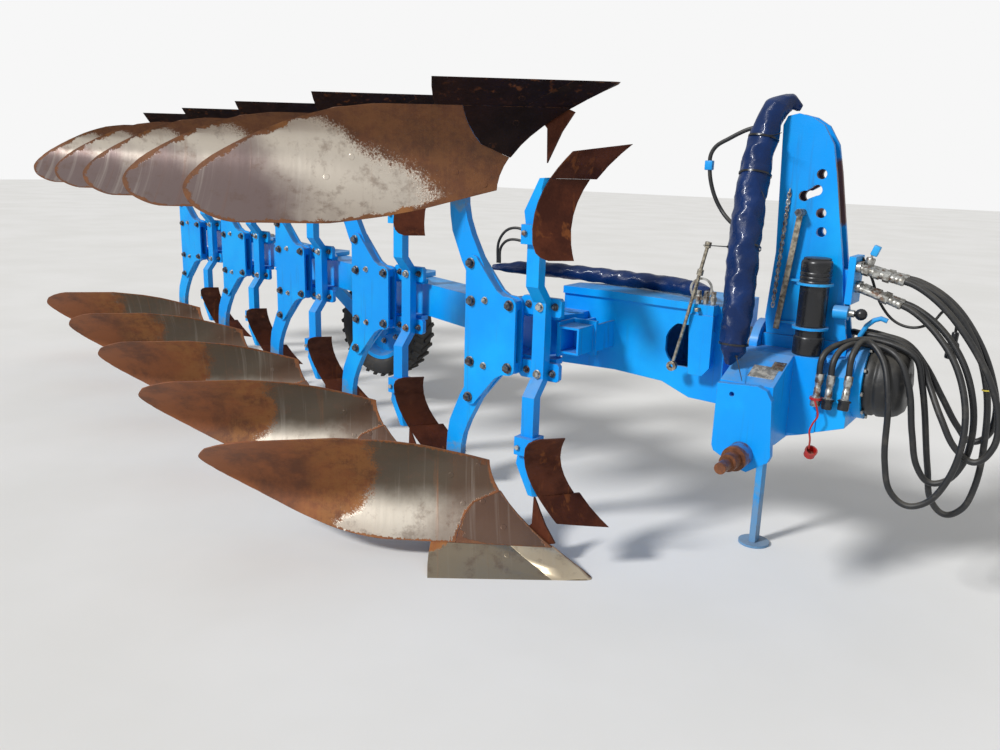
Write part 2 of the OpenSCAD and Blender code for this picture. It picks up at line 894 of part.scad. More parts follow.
module wheel_arm() {
    color("dodgerblue")
        placed() {
            difference() {
                upright(arm_y, swing_t)
                    union() {
                        circle_at(arm_pivot_x, 0, 60);
                        circle_at(wheel_x, -wheel_drop, 48);
                        bar_between([arm_pivot_x, 0], [wheel_x, -wheel_drop], 74);
                    }
                translate([arm_pivot_x, arm_y - 1, mid_z])
                    rotate([-90, 0, 0])
                        cylinder(h = swing_t + 2, d = pivot_d + 2 * shaft_clear);
            }
            translate([wheel_x, arm_y + swing_t, wheel_z])
                rotate([-90, 0, 0])
                    cylinder(h = wheel_y + 56 - arm_y - swing_t, d = stub_d);
            translate([wheel_x, wheel_y + 52, wheel_z])
                rotate([-90, 0, 0])
                    cylinder(h = 14, d = stub_d + 16);
            translate([wheel_x, arm_y + swing_t, wheel_z])
                rotate([-90, 0, 0])
                    cylinder(h = wheel_y - 52 - arm_y - swing_t, d = stub_d + 16);
        }
}

module circle_at(x, h, r) {
    translate([x, h])
        circle(r);
}

module bar_between(a, b, w) {
    d = b - a;
    translate(a)
        rotate(atan2(d[1], d[0]))
            translate([0, -w / 2])
                square([norm(d), w]);
}

stub_d = 44;
module wheel_rim() {
    r = rim_d / 2;
    hw = tyre_w / 2 - 18;
    bore = stub_d / 2 + shaft_clear;
    color("silver")
        placed()
            translate([wheel_x, wheel_y, wheel_z])
                rotate([90, 0, 0])
                    rotate_extrude()
                        polygon([[bore, -50], [60, -50], [60, -8], [r - 40, -8], [r - 22, -hw],
                            [r, -hw], [r, -hw + 6], [r - 12, -hw + 12], [r - 26, 0],
                            [r - 12, hw - 12], [r, hw - 6], [r, hw], [r - 22, hw],
                            [r - 40, 2], [60, 2], [60, 50], [bore, 50]]);
}

module wheel_tyre() {
    r = tyre_d / 2;
    bead = rim_d / 2;
    hw = tyre_w / 2;
    color([0.08, 0.08, 0.08])
        placed()
            translate([wheel_x, wheel_y, wheel_z])
                rotate([90, 0, 0])
                    rotate_extrude()
                        polygon([[bead + 0.3, -hw + 22], [bead + 18, -hw + 4], [bead + 50, -hw],
                            [r - 30, -hw + 4], [r - 8, -hw + 22], [r, -hw + 60], [r, hw - 60],
                            [r - 8, hw - 22], [r - 30, hw - 4], [bead + 50, hw],
                            [bead + 18, hw - 4], [bead + 0.3, hw - 22]]);
}

// Side plates of the headstock, which carry the lower link axle
link_x = 985;
module side_outline() {
    polygon([[888, 783], [1018, 792], [1048, 780], [1066, 750], [1079, 571], [1072, 552],
        [1007, 507], [985, 512], [893, 557], [886, 575]]);
}

module side_plates() {
    color("dodgerblue")
        placed()
            for (y = [axis_y - side_y, axis_y + side_y - side_t])
                difference() {
                    upright_z(y, side_t)
                        side_outline();
                    translate([link_x, y - 1, link_z])
                        rotate([-90, 0, 0])
                            cylinder(h = side_t + 2, d = axle_d);
                    translate([938, y - 1, 753])
                        rotate([-90, 0, 0])
                            cylinder(h = side_t + 2, d = 16);
                }
}

// Cast housing of the turnover shaft between the side plates
house_x0 = 888;
house_x1 = 1240;
shelf_z = 862;
base_z = 905;
nose_z = 787;
module housing() {
    inner = side_y - side_t;
    color("dodgerblue")
        placed()
            translate([0, axis_y, 0])
                difference() {
                    union() {
                        intersection() {
                            house_part(house_x0, 1060, [[-inner, 612], [-inner, 790],
                                [-165, shelf_z], [165, shelf_z], [inner, 790], [inner, 612],
                                [200, 560], [-200, 560]]);
                            house_edge();
                        }
                        intersection() {
                            house_part(1060, 1150, [[-155, 600], [-155, shelf_z],
                                [155, shelf_z], [155, 600], [120, 560], [-120, 560]]);
                            house_edge();
                        }
                        intersection() {
                            house_part(1150, house_x1, [[-150, 620], [-150, 812],
                                [-112, shelf_z], [112, shelf_z], [150, 812], [150, 620],
                                [110, 580], [-110, 580]]);
                            house_edge();
                        }
                        house_part(916, 1195, [[-50, shelf_z - 60], [-50, base_z],
                            [50, base_z], [50, shelf_z - 60]]);
                        translate([1205, 0, nose_z])
                            rotate([0, 90, 0])
                                cylinder(h = house_x1 - 1205, r = 122);
                        translate([flange_x[0], 0, mid_z])
                            rotate([0, 90, 0])
                                cylinder(h = flange_x[1] - flange_x[0] + 2, d = 190);
                    }
                    translate([flange_x[0] - 1, 0, mid_z])
                        rotate([0, 90, 0])
                            cylinder(h = flange_x[1] - flange_x[0] + 1,
                                d = hub_d + 2 * shaft_clear);
                }
}

module house_part(x0, x1, section) {
    translate([x0, 0, 0])
        rotate([90, 0, 90])
            linear_extrude(x1 - x0)
                polygon(section);
}

// The housing's outline seen from the side
module house_edge() {
    upright_z(-400, 800)
        polygon([[800, 612], [1030, 612], [1048, 581], [1165, 622], [house_x1, 648],
            [house_x1, 1000], [800, 1000]]);
}

// Lower link axle with its collars and pins
axle_d = 80;
module link_axle() {
    collar_l = 66;
    shoulder_l = 50;
    half = side_y + collar_l + shoulder_l + link_pin_l;
    color("slategray")
        placed()
            translate([link_x, axis_y, link_z])
                rotate([90, 0, 0]) {
                    cylinder(h = 2 * (side_y + collar_l), d = axle_d, center = true);
                    cylinder(h = 2 * (side_y + collar_l + shoulder_l), d = 56, center = true);
                    cylinder(h = 2 * half, d = link_pin_d, center = true);
                }
}

// Tower of two plates that holds the top link
tower_y0 = tower_gap / 2;
top_holes = [[1052, 1438], [1063, 1315], [1070, 1255]];
module tower_outline() {
    polygon([[925, base_z], [916, 960], [930, 1180], [912, 1590], [925, 1618], [960, 1626],
        [1000, 1616], [1042, 1590], [1078, 1532], [1097, 1445], [1150, 1150], [1165, 1040],
        [1190, base_z]]);
}

module tower_plates() {
    color("dodgerblue")
        placed()
            for (y = [axis_y - tower_y0 - tower_t, axis_y + tower_y0])
                difference() {
                    upright_z(y, tower_t)
                        tower_outline();
                    for (h = top_holes)
                        translate([h[0], y - 1, h[1]])
                            rotate([-90, 0, 0])
                                cylinder(h = tower_t + 2, d = top_hole_d);
                    translate([1003, y - 1, 1367])
                        rotate([-90, 0, 0])
                            cylinder(h = tower_t + 2, d = 34);
                    translate([1042, y - 1, 1387])
                        rotate([-90, 0, 0])
                            cylinder(h = tower_t + 2, d = 34);
                    upright_z(y - 1, tower_t + 2)
                        polygon([[1000, 1351], [1006, 1383], [1039, 1403], [1045, 1371]]);
                }
}

// Web between the tower plates, at their rear and low down at the front
module tower_web() {
    color([0.35, 0.3, 0.28])
        placed()
            upright_z(axis_y - tower_y0, tower_gap)
                polygon([[930, base_z], [946, 1180], [928, 1585], [958, 1610], [975, 1590],
                    [966, 1180], [985, 1000], [1130, 1150], [1145, 1040], [1165, base_z]]);
}

// Ring and rubber cap on the front end of the housing
ring_t = 30;
module nose_ring() {
    color("dodgerblue")
        placed()
            translate([house_x1, axis_y, nose_z])
                rotate([0, 90, 0])
                    cylinder(h = ring_t, d = 262);
}

module nose_cap() {
    depth = nose_end_x - house_x1 - ring_t;
    color([0.1, 0.1, 0.1])
        placed()
            translate([house_x1 + ring_t, axis_y, nose_z])
                rotate([0, 90, 0])
                    rotate_extrude()
                        polygon([[0, 0], [116, 0], [116, 40], [112, 80], [102, 106], [80, 119],
                            [50, depth], [0, depth]]);
}

// Tube for the papers, upright beside the tower
tube_x = 1085;
tube_y = axis_y - tower_y0 - tower_t - 9 - tube_d / 2;
tube_z0 = shelf_z;
tube_h = 316;
module document_tube() {
    color([0.07, 0.07, 0.07])
        placed()
            translate([tube_x, tube_y, tube_z0]) {
                cylinder(h = tube_h - 80, d = tube_d - 6);
                translate([0, 0, tube_h - 80])
                    cylinder(h = 74, d = tube_d);
                translate([0, 0, tube_h - 6])
                    cylinder(h = 6, d = tube_d - 12);
                cylinder(h = 60, d = tube_d);
            }
}

module tube_rings() {
    color("lightskyblue")
        placed()
            for (z = [tube_z0 + 85, tube_z0 + tube_h - 88])
                translate([tube_x, tube_y, z]) {
                    difference() {
                        union() {
                            cylinder(h = 8, d = tube_d + 16);
                            translate([-24, 0, 0])
                                cube([48, axis_y - tower_y0 - tower_t - tube_y, 8]);
                            translate([-120, tube_d / 2 - 8, 0])
                                cube([90, 10, 8]);
                            translate([-120, tube_d / 2 - 8, 0])
                                cube([10, 17, 8]);
                        }
                        translate([0, 0, -1])
                            cylinder(h = 10, d = tube_d - 6);
                    }
                }
}

// Lever that locks the plough for the road, stowed beside the tower
module lock_lever() {
    y = axis_y - tower_y0 - tower_t;
    color("silver")
        placed()
            translate([1005, y, 1315])
                rotate([90, 0, 0]) {
                    cylinder(h = 34, d = 24);
                    translate([0, 0, 21])
                        rotate([0, 0, -96])
                            translate([0, -9, 0])
                                cube([390, 18, 8]);
                }
}

// Hook that keeps the tractor hoses on the housing, and a valve's knob beside it
hose_rest_route = [[1226, 466, 906.5], [1228, 466, 934], [1244, 466, 968], [1264, 466, 988],
    [1284, 467, 996], [1304, 468, 990]];
knob_d = 45;
module hose_rest() {
    tower_side = axis_y - tower_y0 - tower_t;
    color("lightskyblue")
        placed() {
            swept_tube(hose_rest_route, [8, 8, 8, 8, 8, 8], 10);
            translate([1145, tower_side - knob_d / 2, 1006])
                rotate([0, 90, 0])
                    cylinder(h = 46, d = knob_d);
            translate([1145, tower_side - knob_d / 2, 990])
                cube([20, knob_d / 2, 32]);
        }
}

// Block in front of the tower that holds the hose couplings
block_x = [1170, 1192];
module coupling_block() {
    color("steelblue")
        placed() {
            translate([block_x[0], axis_y - 55, 1032])
                cube([block_x[1] - block_x[0], 110, 153]);
            translate([1146, axis_y - tower_y0, 1050])
                cube([block_x[0] - 1146, tower_gap, 90]);
        }
}

// Couplings, as [sideways from the middle, height at the block, height at the end]
coupling_places = [[-35, 1152, 1126], [0, 1152, 1126], [35, 1152, 1126],
    [-18, 1086, 1054], [18, 1086, 1054]];
coupling_end_x = 1300;
module couplings() {
    color("silver")
        placed()
            for (place = coupling_places) {
                y = axis_y + place[0];
                fall = (place[2] - place[1]) / (coupling_end_x - block_x[1]);
                translate([block_x[1], y, place[1]])
                    rotate([0, 90, 0])
                        cylinder(h = 14, d = 34);
                rod([block_x[1] + 4, y, place[1] + 4 * fall],
                    [coupling_end_x, y, place[2]], 26);
            }
}

// Hoses that run to the tractor when the plough is at work. Each leaves its
// coupling, hangs in a loop and comes back over the housing to its own plug.
hose_d = 20;
hose_1_route = [[1301, 482, 1054], [1368, 478, 1030], [1450, 462, 968], [1520, 438, 880],
    [1565, 410, 760], [1572, 393, 640], [1548, 390, 530], [1500, 390, 448], [1445, 390, 425],
    [1395, 390, 458], [1368, 388, 545], [1351, 370, 783], [1312, 400, 888], [1262, 412, 926],
    [1241, 352, 900], [1238, 331, 790]];
hose_2_route = [[1301, 518, 1054], [1370, 516, 1035], [1460, 505, 975], [1535, 485, 880],
    [1580, 465, 760], [1590, 453, 650], [1575, 450, 570], [1538, 450, 512], [1493, 448, 497],
    [1455, 440, 540], [1428, 425, 650], [1399, 402, 815], [1350, 414, 896], [1262, 434, 914],
    [1205, 372, 905], [1188, 338, 868], [1186, 331, 785]];
hose_3_route = [[1301, 500, 1126], [1368, 500, 1114], [1465, 500, 1060], [1550, 498, 955],
    [1605, 498, 810], [1622, 500, 650], [1614, 500, 485], [1588, 500, 412], [1545, 500, 385],
    [1502, 500, 420], [1478, 500, 520], [1427, 466, 815], [1403, 462, 884], [1345, 462, 914],
    [1262, 458, 926], [1196, 408, 914], [1154, 337, 878], [1150, 331, 785]];
hose_4_route = [[1301, 465, 1126], [1366, 464, 1112], [1450, 458, 1060], [1540, 448, 965],
    [1615, 438, 850], [1655, 430, 735], [1652, 425, 650], [1610, 425, 597], [1558, 425, 625],
    [1500, 436, 715], [1446, 480, 808], [1411, 490, 876], [1350, 488, 919], [1225, 492, 937],
    [1170, 612, 905], [1162, 676, 800]];
hose_5_route = [[1301, 535, 1126], [1370, 537, 1116], [1470, 538, 1060], [1560, 535, 950],
    [1618, 532, 825], [1638, 530, 730], [1622, 530, 655], [1582, 530, 632], [1540, 530, 672],
    [1485, 527, 757], [1422, 521, 856], [1362, 515, 918], [1290, 512, 936], [1235, 525, 940],
    [1218, 618, 908], [1214, 676, 800]];

module hose(route) {
    color([0.09, 0.09, 0.09])
        placed()
            swept_tube(route, [for (p = route) hose_d / 2], 8);
}

module hose_1() {
    hose(hose_1_route);
}

module hose_2() {
    hose(hose_2_route);
}

module hose_3() {
    hose(hose_3_route);
}

module hose_4() {
    hose(hose_4_route);
}

module hose_5() {
    hose(hose_5_route);
}

// Plugs with their dust caps on the free ends of the hoses
plug_ends = [hose_1_route, hose_2_route, hose_3_route, hose_4_route, hose_5_route];
module hose_plugs() {
    color("silver")
        placed()
            for (route = plug_ends) {
                tip = route[len(route) - 1];
                before = route[len(route) - 2];
                ahead = (tip - before) / norm(tip - before);
                rod(tip, tip + 44 * ahead, hose_d + 4);
                rod(tip + 40 * ahead, tip + 74 * ahead, hose_d + 12);
            }
}

// Hose sleeve hung over the tower
tower_sleeve_route = [[952, 500, 1644], [922, 486, 1660], [888, 449, 1640], [870, 413, 1560],
    [862, 378, 1446], [868, 335, 1317], [882, 280, 1190], [898, 235, 1075], [904, 210, 960],
    [902, 203, 880], [896, 200, 832]];
module tower_sleeve() {
    color("midnightblue")
        placed()
            swept_tube(tower_sleeve_route, [16, 30, 44, 49, 53, 54, 54, 52, 50, 46, 34], 12);
}

// Guide and leg of the parking stand, on the far side plate
leg_x = 868;
leg_y = axis_y + side_y - side_t - 60 - leg_w / 2;
leg_t = 25;
module stand_guide() {
    gap = 0.5;
    low = 480;
    top = 606;
    color("dodgerblue")
        placed() {
            difference() {
                translate([leg_x - leg_t / 2 - 10, leg_y - leg_w / 2 - 10, low])
                    cube([leg_t + 20, leg_w + 70, top - low]);
                translate([leg_x - leg_t / 2 - gap, leg_y - leg_w / 2 - gap, low - 10])
                    cube([leg_t + 2 * gap, leg_w + 2 * gap, top - low + 20]);
            }
            translate([leg_x + leg_t / 2 + 9, axis_y + side_y - side_t - 24, low + 82])
                cube([42, 24, top - low - 82]);
        }
}

module stand_leg() {
    color("steelblue")
        placed()
            translate([leg_x, leg_y, 0]) {
                cylinder(h = 10, d = foot_d);
                translate([-leg_t / 2, -leg_w / 2, 8])
                    cube([leg_t, leg_w, 700]);
            }
}

moldboards_lower();
moldboards_upper();
shins_lower();
shins_upper();
shares_lower();
shares_upper();
points_lower();
points_upper();
land_knives();
landsides();
frogs();
board_stays();
shanks();
carriers_near();
carriers_far();
yokes();
king_pins();
skimmer_stalks();
skimmer_holders();
skimmer_boards();
skimmer_shares();
main_beam();
beam_ends();
frame_head();
turn_hub();
socket_bracket();
valve_block();
beam_sleeve();
wheel_bracket();
wheel_arm();
wheel_rim();
wheel_tyre();
side_plates();
housing();
link_axle();
tower_plates();
tower_web();
nose_ring();
nose_cap();
document_tube();
tube_rings();
lock_lever();
hose_rest();
coupling_block();
couplings();
hose_1();
hose_2();
hose_3();
hose_4();
hose_5();
hose_plugs();
tower_sleeve();
stand_guide();
stand_leg();
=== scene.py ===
"""Dresses the frame of a five-furrow reversible moldboard plough.

The steel frame comes packed from the CAD model. This script gives its surfaces their paint, worn steel,
rust and rubber, and adds what the solids leave out: bolts, hoses, hose sleeves, the tower's fittings, the
tyre's tread and the studio round the plough. Tables of places hold millimetres on the plough's own datum,
which is the outer face of the first carrier. Everything that is built is in metres in the row frame.
"""

import json
import logging
import math
from collections.abc import Callable, Sequence
from dataclasses import dataclass, field
from enum import Enum
from functools import cached_property

import bmesh
import bpy
from mathutils import Matrix, Vector, noise
from mathutils.bvhtree import BVHTree
from mathutils.geometry import barycentric_transform, interpolate_bezier
from mathutils.kdtree import KDTree


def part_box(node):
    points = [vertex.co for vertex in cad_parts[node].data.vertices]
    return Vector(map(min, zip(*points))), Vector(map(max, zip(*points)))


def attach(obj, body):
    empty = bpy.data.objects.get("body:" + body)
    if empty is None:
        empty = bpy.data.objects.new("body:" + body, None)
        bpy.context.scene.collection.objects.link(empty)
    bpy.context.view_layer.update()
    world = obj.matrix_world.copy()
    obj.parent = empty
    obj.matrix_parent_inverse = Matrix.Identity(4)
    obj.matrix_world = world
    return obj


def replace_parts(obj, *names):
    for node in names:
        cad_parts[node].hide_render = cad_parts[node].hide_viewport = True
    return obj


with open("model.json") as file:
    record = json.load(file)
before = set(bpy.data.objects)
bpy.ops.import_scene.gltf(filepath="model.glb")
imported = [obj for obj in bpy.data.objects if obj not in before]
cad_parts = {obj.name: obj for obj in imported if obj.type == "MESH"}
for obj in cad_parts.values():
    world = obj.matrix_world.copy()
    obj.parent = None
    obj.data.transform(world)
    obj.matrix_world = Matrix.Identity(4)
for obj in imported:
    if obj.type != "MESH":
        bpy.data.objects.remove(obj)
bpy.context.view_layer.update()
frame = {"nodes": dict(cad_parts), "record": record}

LOG = logging.getLogger("plough")
MM = 0.001
BODIES = 5
BODY_STEP = Vector((-0.9, 0.339, 0.0))
AXIS_HEIGHT = 0.85
# Edges of a plate that turn by more than this, in radians, are its rim.
RIM_ANGLE = 0.9
# A hexagon's radius over its corners as a share of its width across the flats.
HEX_RADIUS = 0.577
UP, AHEAD, LEFT, RIGHT = Vector((0, 0, 1)), Vector((1, 0, 0)), Vector((0, 1, 0)), Vector((0, -1, 0))
Point = tuple[float, float, float]
Profile = Sequence[tuple[float, float]]
BoltRow = tuple[float, float, float, float, Vector, bool, bool]
Colour = tuple[float, float, float, float]
Input = "Value | float | Colour | Point"
BMesh, BMVert, BMEdge = bmesh.types.BMesh, bmesh.types.BMVert, bmesh.types.BMEdge


class Body(Enum):
    """Moving bodies that the new pieces ride on, by the names they have in the frame."""

    HEADSTOCK = "headstock"
    FRAME = "frame"
    WHEEL = "depth_wheel"


class Slot(Enum):
    """Finishes that the record lists."""

    PAINT = "paint_blue"
    BRIGHT_PAINT = "paint_light_blue"
    MOLDBOARD = "moldboard_steel"
    RUSTY = "rusty_steel"
    DARK_RUST = "dark_rust"
    SHARE = "share_steel"
    BRIGHT = "bright_steel"
    RUBBER = "black_rubber"
    TYRE = "tyre_rubber"
    PLASTIC = "black_plastic"
    VINYL = "navy_vinyl"


class Turn(Enum):
    """Lower bodies are as drawn and upper ones are their mirror image."""

    LOWER = 1
    UPPER = -1

    def height(self, z: float) -> float:
        """Turns a height over the ground into that of a working body, or back."""
        return z if self is Turn.LOWER else 2 * AXIS_HEIGHT - z


def tone(red: int, green: int, blue: int) -> Colour:
    """Turns a screen colour into the linear colour that shaders take.

    Args:
        red: Red on the screen, from 0 to 255.
        green: Green on the screen.
        blue: Blue on the screen.

    Returns:
        The linear colour with full alpha.
    """
    shares = [level / 255 for level in (red, green, blue)]
    return (*(s / 12.92 if s <= 0.04045 else ((s + 0.055) / 1.055) ** 2.4 for s in shares), 1.0)


@dataclass(frozen=True)
class Value:
    """A number, vector or colour on its way through a shader."""

    graph: "Graph"
    socket: bpy.types.NodeSocket

    def __add__(self, other: "Value | float") -> "Value":
        """Adds a number."""
        return self.graph.math("ADD", self, other)

    def __sub__(self, other: "Value | float") -> "Value":
        """Takes a number away."""
        return self.graph.math("SUBTRACT", self, other)

    def __rsub__(self, other: float) -> "Value":
        """Takes this away from a number."""
        return self.graph.math("SUBTRACT", other, self)

    def __mul__(self, other: "Value | float") -> "Value":
        """Multiplies by a number."""
        return self.graph.math("MULTIPLY", self, other)

    def __abs__(self) -> "Value":
        """Drops the sign."""
        return self.graph.math("ABSOLUTE", self)

    def most(self, other: "Value") -> "Value":
        """Gives the larger of two numbers."""
        return self.graph.math("MAXIMUM", self, other)

    def clamped(self) -> "Value":
        """Keeps the sum or product that this is between 0 and 1."""
        self.socket.node.use_clamp = True
        return self

    def stretched(self, factors: Point) -> "Value":
        """Multiplies each part of a vector by its own factor."""
        return self.graph.made("VectorMath", {0: self, 1: factors}, operation="MULTIPLY")

    def parts(self) -> list["Value"]:
        """Splits a vector into its three numbers."""
        return [Value(self.graph, part) for part in self.graph.add("SeparateXYZ", {0: self}).outputs]

    def ramp(self, low: Input, high: Input, start: Input = 0.0, end: Input = 1.0) -> "Value":
        """Maps the number smoothly from one span to another.

        Args:
            low: Where the rise begins.
            high: Where the rise ends.
            start: The result below low.
            end: The result above high.

        Returns:
            The mapped number.
        """
        inputs = dict(enumerate((self, low, high, start, end)))
        return self.graph.made("MapRange", inputs, interpolation_type="SMOOTHSTEP")


class Graph:
    """Places and joins shader nodes in one node tree."""

    def __init__(self, tree: bpy.types.NodeTree) -> None:
        """Keeps the tree that the nodes go into."""
        self.tree = tree

    @cached_property
    def place(self) -> Value:
        """The coordinates of the object itself."""
        return Value(self, self.add("TexCoord").outputs["Object"])

    @property
    def normal(self) -> Value:
        """The surface's own direction."""
        return Value(self, self.add("NewGeometry").outputs["Normal"])

    def feed(self, socket: bpy.types.NodeSocket, value: Input) -> None:
        """Links a socket to a value, or sets it.

        Args:
            socket: The input to fill.
            value: What goes in.
        """
        if isinstance(value, Value):
            self.tree.links.new(value.socket, socket)
        else:
            socket.default_value = value

    def add(self, kind: str, inputs: dict[str | int, Input] | None = None, **options: object) -> bpy.types.Node:
        """Adds one node.

        Args:
            kind: The node's type without its prefix, such as TexNoise.
            inputs: What goes into its sockets, by their names or numbers.
            **options: Settings of the node itself.

        Returns:
            The new node.
        """
        node = self.tree.nodes.new("ShaderNode" + kind)
        for name, value in options.items():
            setattr(node, name, value)
        for name, value in (inputs or {}).items():
            self.feed(node.inputs[name], value)
        return node

    def made(self, kind: str, inputs: dict[str | int, Input], **options: object) -> Value:
        """Adds one node and gives its first result."""
        return Value(self, self.add(kind, inputs, **options).outputs[0])

    def math(self, operation: str, first: Input, second: Input = 0.0) -> Value:
        """Adds arithmetic on one or two numbers."""
        return self.made("Math", {0: first, 1: second}, operation=operation)

    def mix(self, factor: Input, first: Input, second: Input) -> Value:
        """Mixes two colours: the higher the factor, the more of the second one."""
        return Value(self, self.add("Mix", {0: factor, 6: first, 7: second}, data_type="RGBA").outputs[2])

    def noise(self, scale: Input, detail: float = 3.0, rough: float = 0.55, vector: Value | None = None) -> Value:
        """Adds fractal noise.

        Args:
            scale: Blotches per metre.
            detail: Finer layers.
            rough: How strongly the finer layers count.
            vector: Where the noise is read, if not on the object's own coordinates.

        Returns:
            The noise, from about 0.2 to 0.8.
        """
        inputs = {"Vector": vector or self.place, "Scale": scale, "Detail": detail, "Roughness": rough}
        return self.made("TexNoise", inputs)


class Effects:
    """Shader node groups that several finishes share, each built once."""

    def __init__(self) -> None:
        """Builds all the groups."""
        self.dust = self.group("Settled dust", ("Amount", "Scale"), ("Mask",), self.settled)
        self.edge = self.group("Edge wear", ("Amount", "Radius"), ("Mask",), self.worn)
        self.bloom = self.group("Rust bloom", ("Amount", "Scale"), ("Mask", "Tone"), self.rusted)
        self.runs = self.group("Rain runs", ("Amount", "Fineness"), ("Mask",), self.streaked)
        self.grain = self.group("Surface grain", ("Scale", "Waves"), ("Height",), self.uneven)

    def group(self, name: str, inputs: Sequence[str], outputs: Sequence[str],
              build: Callable[..., list[Value]]) -> bpy.types.NodeTree:
        """Builds one group.

        Args:
            name: The group's name.
            inputs: Its number inputs.
            outputs: Its outputs, of which Tone is a colour.
            build: Takes the graph and the inputs, and gives a value for each output.

        Returns:
            The group.
        """
        tree = bpy.data.node_groups.new(name, "ShaderNodeTree")
        for title in inputs:
            tree.interface.new_socket(title, in_out="INPUT", socket_type="NodeSocketFloat")
        for title in outputs:
            kind = "NodeSocketColor" if title == "Tone" else "NodeSocketFloat"
            tree.interface.new_socket(title, in_out="OUTPUT", socket_type=kind)
        graph = Graph(tree)
        given, out = tree.nodes.new("NodeGroupInput"), tree.nodes.new("NodeGroupOutput")
        values = build(graph, *(Value(graph, given.outputs[title]) for title in inputs))
        for title, value in zip(outputs, values):
            graph.feed(out.inputs[title], value)
        return tree

    def settled(self, graph: Graph, amount: Value, scale: Value) -> list[Value]:
        """Builds dust that settles on what faces up, in broken patches.

        Args:
            graph: The group's graph.
            amount: How much dust there is.
            scale: Patches per metre.

        Returns:
            The dust's mask.
        """
        level = graph.normal.parts()[2].ramp(0.1, 0.9)
        patches = graph.noise(scale, 5.0, 0.65).ramp(0.36, 0.62, 0.25, 1.0)
        return [(level * patches * amount).clamped()]

    def worn(self, graph: Graph, amount: Value, radius: Value) -> list[Value]:
        """Builds wear along sharp edges, from the turn of a rounded normal.

        Args:
            graph: The group's graph.
            amount: How much wear there is.
            radius: How far it reaches from the edge, in metres.

        Returns:
            The wear's mask.
        """
        rounded = graph.made("Bevel", {"Radius": radius}, samples=4)
        turn = graph.add("VectorMath", {0: rounded, 1: graph.normal}, operation="DOT_PRODUCT")
        edge = (1.0 - Value(graph, turn.outputs["Value"])).ramp(0.015, 0.14)
        return [(edge * graph.noise(55.0, 4.0, 0.7).ramp(0.44, 0.6) * amount).clamped()]

    def rusted(self, graph: Graph, amount: Value, scale: Value) -> list[Value]:
        """Builds blotches of rust with their own play of orange, brown and near black.

        Args:
            graph: The group's graph.
            amount: How much of the surface is rusty.
            scale: Blotches per metre.

        Returns:
            The rust's mask and its colour.
        """
        limit = 0.78 - amount * 0.56
        mask = graph.noise(scale, 6.0, 0.68).ramp(limit - 0.05, limit + 0.05)
        brown = graph.mix(graph.noise(42.0, 5.0, 0.7).ramp(0.35, 0.65), tone(82, 46, 28), tone(126, 76, 42))
        orange = graph.mix(graph.noise(11.0, 4.0, 0.6).ramp(0.55, 0.72), brown, tone(168, 100, 44))
        return [mask, graph.mix(graph.noise(3.5).ramp(0.55, 0.75), orange, tone(52, 30, 22))]

    def streaked(self, graph: Graph, amount: Value, fineness: Value) -> list[Value]:
        """Builds narrow runs of dirt or rust that follow the drip of rain.

        Args:
            graph: The group's graph.
            amount: How strong the runs are.
            fineness: Runs per metre.

        Returns:
            The runs' mask.
        """
        thin = graph.noise(fineness, 3.0, 0.6, graph.place.stretched((1.0, 1.0, 0.06)))
        return [(thin.ramp(0.56, 0.7) * graph.noise(2.6, 2.0).ramp(0.4, 0.62) * amount).clamped()]

    def uneven(self, graph: Graph, scale: Value, waves: Value) -> list[Value]:
        """Builds the small unevenness of a surface, as a height."""
        return [graph.noise(scale, 4.0, 0.6) + graph.noise(7.0, 2.0) * waves]


class Surface(Graph):
    """The graph of a new material, with its shader and the shared effects at hand."""

    def __init__(self, name: str, effects: Effects) -> None:
        """Opens the material.

        Args:
            name: The material's name.
            effects: The shared shader groups.
        """
        self.material = bpy.data.materials.new(name)
        self.material.use_nodes = True
        super().__init__(self.material.node_tree)
        self.shader = self.tree.nodes["Principled BSDF"]
        self.effects = effects

    def fill(self, **inputs: Input) -> None:
        """Fills inputs of the shader, whose names have underscores for spaces here."""
        for name, value in inputs.items():
            self.feed(self.shader.inputs[name.replace("_", " ")], value)

    def attribute(self, name: str) -> list[Value]:
        """Gives the three numbers of a vector attribute."""
        return Value(self, self.add("Attribute", attribute_name=name).outputs["Vector"]).parts()

    def effect(self, tree: bpy.types.NodeTree, *values: Input) -> list[Value]:
        """Places a shared effect and gives its results."""
        return [Value(self, out) for out in self.add("Group", dict(enumerate(values)), node_tree=tree).outputs]

    def dust(self, amount: float, scale: float) -> Value:
        """Gives the mask of settled dust."""
        return self.effect(self.effects.dust, amount, scale)[0]

    def edge(self, amount: float, radius: float) -> Value:
        """Gives the mask of worn edges."""
        return self.effect(self.effects.edge, amount, radius)[0]

    def bloom(self, amount: float, scale: float) -> list[Value]:
        """Gives the mask of rust and the rust's colour."""
        return self.effect(self.effects.bloom, amount, scale)

    def runs(self, amount: float, fineness: float) -> Value:
        """Gives the mask of rain runs."""
        return self.effect(self.effects.runs, amount, fineness)[0]

    def grain(self, scale: float, waves: float) -> Value:
        """Gives the height of a fine grain."""
        return self.effect(self.effects.grain, scale, waves)[0]

    def relief(self, height: Value, depth: float, rounding: float = 0.0) -> None:
        """Feeds a height to the shader's normal.

        Args:
            height: The height, about 0 to 1.
            depth: What a height of 1 stands for, in metres.
            rounding: Radius at which sharp edges catch the light, or 0 for none.
        """
        inputs = {"Strength": 1.0, "Distance": depth, "Height": height}
        if rounding:
            inputs["Normal"] = self.made("Bevel", {"Radius": rounding}, samples=4)
        self.fill(Normal=self.made("Bump", inputs))


